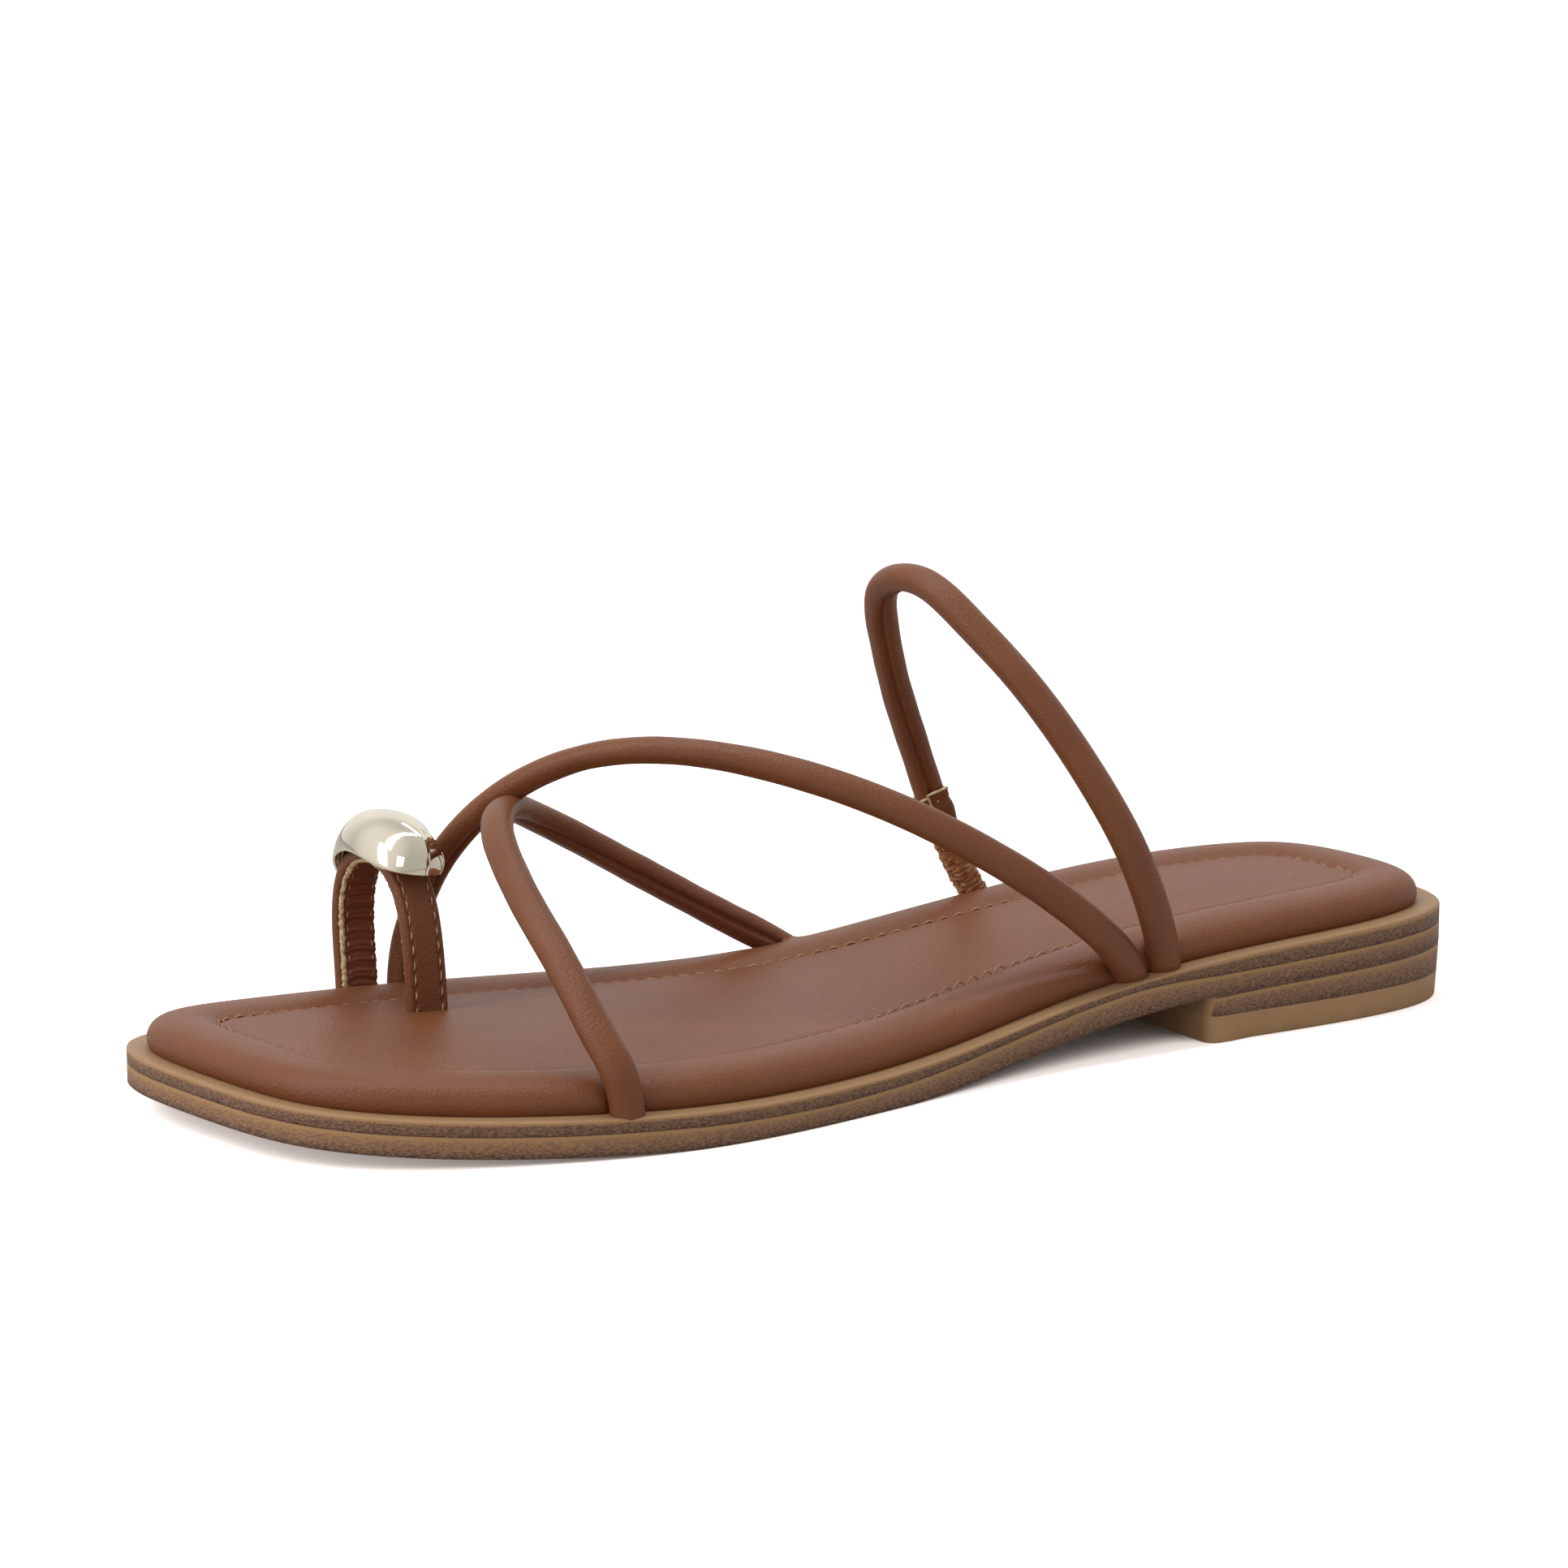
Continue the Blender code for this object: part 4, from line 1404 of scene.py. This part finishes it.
        # Drawn in just under the stitches, fuller below them and drawn in again at its foot
        pinch = self.neck_depth * bell(share, self.dot_share + self.neck_below, self.neck_width)
        pinch = pinch - self.belly_height * bell(share, self.belly_share, self.belly_width)
        pinch = pinch + self.foot_depth * share ** self.foot_power
        thicker = 1.0 + (self.flap_thickness * lapped + grow) / (0.5 * self.cuff_size[1])
        section = self.band(self.cuff_size, angle, self.cuff_roundness) * ((1.0 - pinch) * thicker)[..., None]
        across = rows_at(frames.across, frames.along, marks) * section[..., :1]
        out = rows_at(frames.outward, frames.along, marks) * section[..., 1:]
        return rows_at(frames.points, frames.along, marks) + across + out

    def build_cuff(self, finishes: Finishes) -> None:
        """Folded cuff with the raw edges of its wrap and two stitches.

        Args:
            finishes: Materials to dress it with.
        """
        angle = full_turn(self.cuff_sides)
        shares = np.linspace(0.0, 1.0, self.cuff_points)
        bm = bmesh.new()
        add_surface(bm, np.array([self.cuff_spots(angle, np.full(len(angle), share)) for share in shares]))
        close_ends(bm)
        make_piece(bm, "strap_cuff", finishes.strap, ["strap_cuff"])
        bm = bmesh.new()
        rim = self.cuff_spots(angle, np.zeros(len(angle)))
        flap = np.full(self.cuff_points, math.radians(self.flap_angle + self.edge_angle))
        fold = self.cuff_spots(flap, np.linspace(0.0, self.cuff_flap / self.cuff_length, self.cuff_points))
        for line in (rim, fold):
            self.add_edge(bm, line)
        close_ends(bm)
        make_piece(bm, "strap_cuff_edges", finishes.raw_edge)
        bm = bmesh.new()
        for degrees in self.dot_angles:
            dot = self.cuff_spots(np.array([math.radians(degrees)]), np.array([self.dot_share]))
            middle = Vector(LAST.place(dot)[0])
            bmesh.ops.create_uvsphere(bm, u_segments=12, v_segments=8, radius=self.dot_radius * MM,
                                      matrix=Matrix.Translation(middle))
        make_piece(bm, "strap_cuff_stitches", finishes.thread)

    def add_edge(self, bm: bmesh.types.BMesh, line: Array) -> None:
        """Adds a thin uneven tube along a line, as a cut edge shows.

        Args:
            bm: Mesh that takes the tube.
            line: Points of the line.
        """
        tangent = unit(np.gradient(line, axis=0))
        side = unit(np.cross(tangent, self.edge_side))
        up = np.cross(side, tangent)
        turn = full_turn(THREAD_SIDES)[:, None]
        radius = self.edge_radius * (1.0 + self.edge_ragged * uneven(line, self.edge_grain))
        ring = side[:, None] * np.cos(turn) + up[:, None] * np.sin(turn)
        add_surface(bm, line[:, None] + ring * radius[:, None, None])

    def build_gore(self, finishes: Finishes) -> None:
        """Gathered elastic: scrunched folds that run across it.

        Args:
            finishes: Materials to dress it with.
        """
        start = self.cuff_start + self.cuff_length - self.gore_overlap
        frames = frames_along(ANKLE_ROUTE, FOOT_AXIS, self.fine_step, start)
        angle = full_turn(self.gore_sides)
        section = self.band(self.gore_size, angle, self.gore_roundness)
        # Folds lie closer along the elastic than across it
        along = self.fold_closeness * frames.along[:, None]
        turned = self.fold_width * np.cos(angle), self.fold_width * np.sin(angle)
        fold = uneven(np.stack(np.broadcast_arrays(along, *turned), axis=-1), self.fold_size)
        fold = np.clip(0.5 + self.fold_contrast * fold, 0.0, 1.0)
        grow = 1.0 + self.fold_height * (fold - self.fold_level) / (0.5 * self.gore_size[0])
        bm = bmesh.new()
        # The fold height also sets the elastic's painted shade in the valleys and painted highlights on the
        # crests
        add_surface(bm, swept(frames, section[None] * grow[..., None]), fold=fold)
        close_ends(bm)
        make_piece(bm, "elastic_gore", finishes.elastic, ["elastic_gore"])

    def build(self, finishes: Finishes) -> None:
        """Builds the crossing cords, the ankle strap, its cuff and its elastic.

        Args:
            finishes: Materials to dress it with.
        """
        bm = bmesh.new()
        self.add_cord(bm, INSTEP_ROUTE, phase=0.1, fuller=0.1, reach=110.0)
        self.add_cord(bm, VAMP_ROUTE, phase=0.55, fuller=0.07, reach=70.0)
        close_ends(bm)
        make_piece(bm, "instep_straps", finishes.strap, ["instep_straps"])
        bm = bmesh.new()
        end = self.cuff_start + self.overlap
        self.add_cord(bm, ANKLE_ROUTE, phase=0.3, fuller=0.13, reach=125.0, end=end)
        close_ends(bm)
        make_piece(bm, "ankle_strap", finishes.strap, ["ankle_strap"])
        self.build_cuff(finishes)
        self.build_gore(finishes)


@dataclass
class ToeLoop:
    """Flat stitched strap round the big toe with its domed metal ornament."""

    width: float = 7.7
    thickness: float = 2.6
    stitch_row: float = 2.5
    stitch_rise: float = 0.18
    stitch_groove: float = 0.22
    groove_width: float = 0.32
    hole_depth: float = 0.3
    hole_power: int = 6
    section_points: int = 61
    edge_crowding: float = 1.2
    edge_power: int = 8
    stitch: Stitch = Stitch(2.7, 2.0, 0.27, 0.2, 0.3)
    lining_stitch: Stitch = Stitch(2.7, 1.3, 0.22, 0.1, 0.5)
    step: float = 0.25
    lining_toe: float = -2.5
    lining_heel: float = 3.75
    lining_height: float = 0.2
    lining_rows: tuple[float, float] = (-1.7, 2.95)
    lining_rise: float = 0.2
    lining_points: int = 41
    lining_blend: float = 0.12
    lining_edge: float = 0.04
    lining_sink: float = 0.15
    lining_back: float = 0.5
    pucker: float = 0.34
    pucker_spread: float = 0.18
    pucker_sway: tuple[float, float] = (0.5, 1.7)
    pucker_drift: tuple[float, float] = (0.3, 11.0)
    pucker_ripple: tuple[float, float] = (0.35, 1.1)
    raw_row: float = -2.75
    raw_radius: float = 0.42
    raw_wander: float = 0.22
    raw_wander_size: float = 1.6
    raw_ragged: float = 0.55
    raw_grain: float = 0.8
    raw_flatness: float = 1.15
    raw_sink: float = 0.1
    raw_sides: int = 16
    dome_sides: int = 96
    dome_steps: int = 90
    fullness: float = 0.68
    cut: float = 14.0
    shell: float = 0.7
    ridge_station: float = 196.75
    ridge_start: float = -22.0
    ridge_blend: float = 2.0
    crease_limit: float = 0.75
    recess: float = 0.4
    recess_blend: float = 0.15
    recess_drop: float = 0.5
    tuck: float = 0.38
    tab_size: tuple[float, float, float] = (1.0, 1.15, 1.4)
    tab_lump: float = 0.3
    tab_grain: float = 2.2
    tab_place: RoutePoint = RoutePoint(195.3, -19.0, 41.4)
    dome: tuple[DomeRow, ...] = table(
        DomeRow,
        (-44.5, 33.4, 32.4, 199.0, 1.2, 1.2), (-44.1, 35.2, 32.8, 199.0, 2.3, 2.3),
        (-43.0, 38.0, 33.9, 199.0, 3.5, 3.6), (-40.8, 41.4, 35.9, 199.0, 4.9, 5.0),
        (-36.5, 44.9, 38.1, 199.0, 6.2, 6.7), (-31.0, 46.2, 39.4, 198.9, 6.8, 7.6),
        (-26.0, 46.1, 39.1, 198.5, 6.9, 7.4), (-21.5, 44.5, 37.7, 197.6, 6.0, 5.8),
        (-18.4, 42.2, 37.1, 196.8, 4.5, 5.2), (-17.0, 40.2, 36.8, 196.3, 2.6, 3.6),
        (-16.5, 38.6, 36.7, 196.1, 1.2, 2.2),
    )

    def section(self, frames: Frames) -> Array:
        """Folded strap: a soft crown between two stitched grooves, and rolled edges.

        Args:
            frames: Frames of the strap.

        Returns:
            Distances across and out for each frame.
        """
        half = 0.5 * self.width
        share = np.linspace(-1.0, 1.0, self.section_points)
        across = half * np.sign(share) * (1.0 - (1.0 - np.abs(share)) ** self.edge_crowding)
        edge = np.sqrt(np.maximum(1.0 - (np.abs(across) / half) ** self.edge_power, 0.0))
        hole = np.abs(np.cos(math.pi * frames.along / self.stitch.pitch)) ** self.hole_power
        depth = self.stitch_groove + self.hole_depth * hole[:, None]
        out = 0.5 * self.thickness * edge - depth * bell(np.abs(across), self.stitch_row, self.groove_width)
        under = np.broadcast_to(-0.5 * self.thickness * edge, out.shape)
        round_way = np.concatenate([across, across[-2:0:-1], across[:1]])
        ring = np.concatenate([out, under[:, -2:0:-1], out[:, :1]], axis=1)
        return np.stack(np.broadcast_arrays(round_way, ring), axis=-1)

    def build_strap(self, finishes: Finishes) -> None:
        """Strap with the stitches of its outside and of its lining.

        Args:
            finishes: Materials to dress it with.
        """
        frames = frames_along(LOOP_ROUTE, TOE_AXIS, self.step)
        bm = bmesh.new()
        add_surface(bm, swept(frames, self.section(frames)))
        close_ends(bm)
        make_piece(bm, "toe_loop", finishes.strap, ["toe_loop"])
        bm = bmesh.new()
        for side in (-1.0, 1.0):
            line = frames.points + frames.across * side * self.stitch_row
            outside = line + frames.outward * (0.5 * self.thickness - self.stitch_groove)
            add_stitches(bm, outside, frames.outward, self.stitch, self.stitch_rise)
        for row in self.lining_rows:
            line = frames.points + frames.across * row
            inside = line - frames.outward * (0.5 * self.thickness + self.lining_height)
            add_stitches(bm, inside, -frames.outward, self.lining_stitch, self.lining_rise)
        make_piece(bm, "toe_loop_stitches", finishes.thread)

    def build_lining(self, finishes: Finishes) -> None:
        """Lining, puckered between its stitches, and the raw edge of the strap's turned-in hide beside it.

        Args:
            finishes: Materials to dress it with.
        """
        frames = frames_along(LOOP_ROUTE, TOE_AXIS, self.step)
        share = np.linspace(0.0, 1.0, self.lining_points)
        (sway, sway_pitch), (drift, drift_pitch) = self.pucker_sway, self.pucker_drift
        along = frames.along[:, None] + sway * wave(share, sway_pitch)
        along = along + drift * wave(frames.along[:, None], drift_pitch)
        ripple, ripple_pitch = self.pucker_ripple
        gather = np.abs(np.sin(math.pi * along / self.stitch.pitch)) + ripple * wave(along, ripple_pitch)
        between = eased(share, 0.0, self.lining_blend) * eased(share, 1.0, 1.0 - self.lining_blend)
        height = self.lining_height + self.pucker * gather * between
        across = self.lining_toe + (self.lining_heel - self.lining_toe + self.pucker_spread * gather) * share
        rounded = height * eased(share, 0.0, self.lining_edge) * eased(share, 1.0, 1.0 - self.lining_edge)
        out = -0.5 * self.thickness - rounded + self.lining_sink
        back = np.full_like(out, -0.5 * self.thickness + self.lining_back)
        section = np.stack([np.concatenate([across, across[:, ::-1], across[:, :1]], axis=1),
                            np.concatenate([out, back, out[:, :1]], axis=1)], axis=-1)
        bm = bmesh.new()
        add_surface(bm, swept(frames, section))
        close_ends(bm)
        make_piece(bm, "toe_loop_lining", finishes.lining)
        ragged = uneven(frames.points, self.raw_wander_size)
        angle = full_turn(self.raw_sides)
        ring = np.stack([self.raw_flatness * np.cos(angle), np.sin(angle)], axis=-1)
        spots = swept(frames, ring[None] * self.raw_radius)
        radius = self.raw_radius * (1.0 + self.raw_ragged * uneven(spots, self.raw_grain))
        depth = np.full_like(ragged, -0.5 * self.thickness - self.raw_sink)
        middle = np.stack([self.raw_row + self.raw_wander * ragged, depth], axis=-1)
        bm = bmesh.new()
        add_surface(bm, swept(frames, middle[:, None] + ring[None] * radius[..., None]))
        close_ends(bm)
        make_piece(bm, "toe_loop_raw_edge", finishes.raw_edge)

    def dome_surface(self) -> Array:
        """Outer surface of the ornament, from its toe side lip over the crown to its heel side lip.

        Returns:
            Rows of stations, offsets and heights.
        """
        given = np.array(self.dome, float)
        knots = distances(given[:, :2])
        rows = smooth_curve(knots, given)(np.linspace(0.0, knots[-1], self.dome_steps))
        offset, crown, lip, middle, toe, heel = rows.T[..., None]
        cut = math.radians(self.cut)
        reach = (self.ridge_station - middle) * math.cos(cut)
        reach = reach / np.where(reach > 0.0, toe, heel)
        crease = np.arccos(np.clip(reach, -self.crease_limit, self.crease_limit))
        share = np.linspace(0.0, 1.0, self.dome_sides // 2)
        angle = np.hstack([cut + (crease - cut) * share, crease + (math.pi - cut - crease) * share[1:]])
        reached = np.cos(angle) / math.cos(cut)
        stations = middle + np.where(reached > 0.0, toe, heel) * reached
        lowest = math.sin(cut) ** self.fullness
        heights = lip + (crown - lip) * (np.sin(angle) ** self.fullness - lowest) / (1.0 - lowest)
        surface = np.stack(np.broadcast_arrays(stations, offset, heights), axis=-1)
        # Behind the crease the lateral end lies a little lower, and its lip is drawn in
        facet = eased(rows[:, :1], self.ridge_start, self.ridge_start + self.ridge_blend)
        behind = surface[:, self.dome_sides // 2 - 1:]
        rise = np.clip((behind[..., 2] - lip) / (crown - lip), 0.0, 1.0)
        behind[..., 0] += self.tuck * facet * (1.0 - rise) ** 2 * (middle - behind[..., 0])
        inward = self.recess * facet * eased(share, 0.0, self.recess_blend)
        behind[..., 1] -= inward
        behind[..., 2] -= self.recess_drop * inward
        return surface

    def build_ornament(self, finishes: Finishes) -> None:
        """Domed ornament and the leather filler in its open end.

        Args:
            finishes: Materials to dress it with.
        """
        surface = self.dome_surface()
        first, last = (np.broadcast_to(row[[0, -1]].mean(axis=0), row.shape) for row in surface[[0, -1]])
        bm = bmesh.new()
        add_surface(bm, np.array([first, *surface, last]))
        ornament = make_piece(bm, "toe_ornament", finishes.gilt, ["toe_ornament"])
        wall = ornament.modifiers.new("wall", "SOLIDIFY")
        wall.thickness = self.shell * MM
        wall.offset = -1.0
        bm = bmesh.new()
        bmesh.ops.create_icosphere(bm, subdivisions=4, radius=1.0)
        middle = LAST.place(np.array(self.tab_place))
        for vert in bm.verts:
            lump = 1.0 + self.tab_lump * noise.turbulence(self.tab_grain * vert.co, 3, False)
            vert.co = Vector(middle) + Vector(np.array(vert.co) * self.tab_size * lump * MM)
        make_piece(bm, "ornament_tab", finishes.rough, ["ornament_tab"])

    def build(self, finishes: Finishes) -> None:
        """Builds the strap, its lining and its ornament.

        Args:
            finishes: Materials to dress it with.
        """
        self.build_strap(finishes)
        self.build_lining(finishes)
        self.build_ornament(finishes)


class Glow(NamedTuple):
    """Lighter or darker part of the room: its angles from the camera's side, its spread and strength."""

    azimuth: float
    elevation: float
    edge: float
    full: float
    strength: float


class Softbox(NamedTuple):
    """Rectangular light: its angles from the camera's side, its sizes in metres and its brightness."""

    name: str
    azimuth: float
    elevation: float
    width: float
    height: float
    strength: float


@dataclass
class Studio:
    """Pale floor, soft light and the camera at the photograph's angle."""

    azimuth: float = 59.22
    elevation: float = 11.03
    distance: float = 900.0
    shift_right: float = -7.29
    shift_up: float = 47.79
    focal_px: float = 6142.0
    image_px: float = 1932.0
    sensor: float = 36.0
    floor_half: float = 12.0
    floor_tone: str = "#e6e4e3"
    card_tone: str = "#bcbab8"
    # Painted light on the floor: a faintly pink glow, faded to a painted shadow near the sandal and raised at
    # the toe
    glow_tone: str = "#fff3ef"
    ground_roughness: float = 0.9
    floor_glow: float = 0.6
    floor_reach: float = 60.0
    card_depth: float = 0.3
    shadow_open: tuple[float, float] = (0.06, 0.28)
    toe_glow: float = 0.4
    toe_glow_from: float = 50.0
    toe_glow_full: float = 115.0
    light_distance: float = 1.2
    room: float = 0.75
    glows: tuple[Glow, ...] = (
        Glow(18.0, 5.0, 82.0, 20.0, -0.11),
        Glow(180.0, 12.0, 60.0, 20.0, 0.4),
        Glow(-70.0, 30.0, 60.0, 12.0, 0.3),
    )
    softboxes: tuple[Softbox, ...] = (
        Softbox("overhead_strip", -57.0, 68.0, 0.075, 1.9, 17.3),
        Softbox("toe_strip", -62.0, 19.0, 0.1, 0.6, 5.0),
        Softbox("front_patch", -30.0, 17.0, 0.38, 0.36, 1.6),
        Softbox("back_strip", 156.0, 67.0, 0.5, 0.12, 5.0),
    )

    def towards(self, turn: float, rise: float) -> Vector:
        """Direction at an angle from the camera's side and a height over the floor, in degrees."""
        around, high = math.radians(self.azimuth + turn), math.radians(rise)
        return Vector((math.sin(around) * math.cos(high), -math.cos(around) * math.cos(high), math.sin(high)))

    def build_camera(self) -> None:
        """Camera at the photograph's viewing angle."""
        back = self.towards(0.0, self.elevation)
        right = self.towards(90.0, 0.0)
        up = back.cross(right)
        data = bpy.data.cameras.new("camera")
        data.sensor_width = self.sensor
        data.lens = self.focal_px / self.image_px * self.sensor
        camera = bpy.data.objects.new("camera", data)
        bpy.context.scene.collection.objects.link(camera)
        aim = Vector((-LAST.centre[1], LAST.centre[0] - 0.5 * LAST.length, 0.0))
        spot = aim + back * self.distance + right * self.shift_right + up * self.shift_up
        turned = Matrix((right, up, back)).transposed().to_4x4()
        camera.matrix_world = Matrix.Translation(spot * MM) @ turned
        bpy.context.scene.camera = camera

    def add_ground(self, name: str, material: bpy.types.Material, height: float) -> bpy.types.Object:
        """Adds a wide level sheet to the stage.

        Args:
            name: Name of the sheet.
            material: Its material.
            height: Its height in metres.

        Returns:
            The sheet.
        """
        bm = bmesh.new()
        bmesh.ops.create_grid(bm, x_segments=1, y_segments=1, size=self.floor_half)
        mesh = bpy.data.meshes.new(name)
        bm.to_mesh(mesh)
        bm.free()
        mesh.materials.append(material)
        ground = bpy.data.objects.new(name, mesh)
        ground.location.z = height
        bpy.context.scene.collection.objects.link(ground)
        return ground

    def build_floor(self) -> None:
        """Pale floor that glows a little with painted light, fading to a painted shadow close under the
        sandal, over a dimmer card that throws light up.
        """
        material, tree, shader = new_material("pale_studio_floor")
        # Painted shadow: the floor's glow dies away close under the sandal, so that its shadow stays tight
        painted_shadow_ao = add_node(tree, "ShaderNodeAmbientOcclusion", {"Distance": self.floor_reach * MM})
        glow = add_node(tree, "ShaderNodeMapRange",
                        {"Value": painted_shadow_ao.outputs["AO"], "From Min": self.shadow_open[0],
                         "From Max": self.shadow_open[1], "To Max": self.floor_glow})
        # Painted light: more glow at the toe, where the sole leaves the floor
        spot = add_node(tree, "ShaderNodeTexCoord").outputs["Object"]
        forward = add_node(tree, "ShaderNodeSeparateXYZ", {"Vector": spot})
        toe_painted_glow = add_node(tree, "ShaderNodeMapRange",
                          {"Value": forward.outputs["Y"], "From Min": -self.toe_glow_from * MM,
                           "From Max": -self.toe_glow_full * MM, "To Max": self.toe_glow})
        both = add_node(tree, "ShaderNodeMath", {0: glow.outputs["Result"], 1: toe_painted_glow.outputs["Result"]})
        feed(shader, {"Base Color": linear(self.floor_tone), "Roughness": self.ground_roughness,
                      "Emission Color": linear(self.glow_tone), "Emission Strength": both.outputs[0]})
        floor = self.add_ground("floor", material, 0.0)
        floor.visible_diffuse = False
        floor.visible_glossy = False
        floor.visible_shadow = False
        material, _, shader = new_material("grey_bounce_card")
        feed(shader, {"Base Color": linear(self.card_tone), "Roughness": self.ground_roughness})
        card = self.add_ground("bounce_card", material, -self.card_depth * MM)
        card.visible_camera = False

    def build_world(self) -> None:
        """Pale room, brighter behind the sandal and at the toe."""
        world = bpy.data.worlds.new("studio")
        world.use_nodes = True
        bpy.context.scene.world = world
        tree = world.node_tree
        tree.nodes.clear()
        way = add_node(tree, "ShaderNodeTexCoord").outputs["Generated"]
        total: float | bpy.types.NodeSocket = self.room
        for glow in self.glows:
            middle = tuple(self.towards(glow.azimuth, glow.elevation))
            facing = add_node(tree, "ShaderNodeVectorMath", {0: way, 1: middle}, operation="DOT_PRODUCT")
            light = add_node(tree, "ShaderNodeMapRange",
                             {"Value": facing.outputs["Value"], "From Min": math.cos(math.radians(glow.edge)),
                              "From Max": math.cos(math.radians(glow.full)), "To Max": glow.strength},
                             interpolation_type="SMOOTHSTEP")
            total = add_node(tree, "ShaderNodeMath", {0: total, 1: light.outputs["Result"]}).outputs[0]
        shown = add_node(tree, "ShaderNodeBackground", {"Strength": total})
        add_node(tree, "ShaderNodeOutputWorld", {"Surface": shown.outputs[0]})

    def add_softbox(self, box: Softbox) -> None:
        """Adds a softbox that looks at the sandal.

        Args:
            box: Place, size and strength of the light.
        """
        data = bpy.data.lights.new(box.name, "AREA")
        data.shape = "RECTANGLE"
        data.size = box.width
        data.size_y = box.height
        data.energy = box.strength * math.pi * box.width * box.height
        light = bpy.data.objects.new(box.name, data)
        light.location = self.towards(box.azimuth, box.elevation) * self.light_distance
        light.rotation_mode = "QUATERNION"
        light.rotation_quaternion = (-light.location).to_track_quat("-Z", "Y")
        bpy.context.scene.collection.objects.link(light)

    def build(self) -> None:
        """Builds the stage."""
        self.build_camera()
        self.build_floor()
        self.build_world()
        for box in self.softboxes:
            self.add_softbox(box)
        bpy.context.scene.view_settings.view_transform = "Standard"


def main() -> None:
    """Builds the stage and every sub-assembly of the sandal."""
    logging.basicConfig(level=logging.INFO)
    Studio().build()
    finishes = Finishes.make()
    Sole().build(finishes)
    Footbed().build(finishes)
    Cords().build(finishes)
    ToeLoop().build(finishes)


if __name__ == "__main__":
    main()
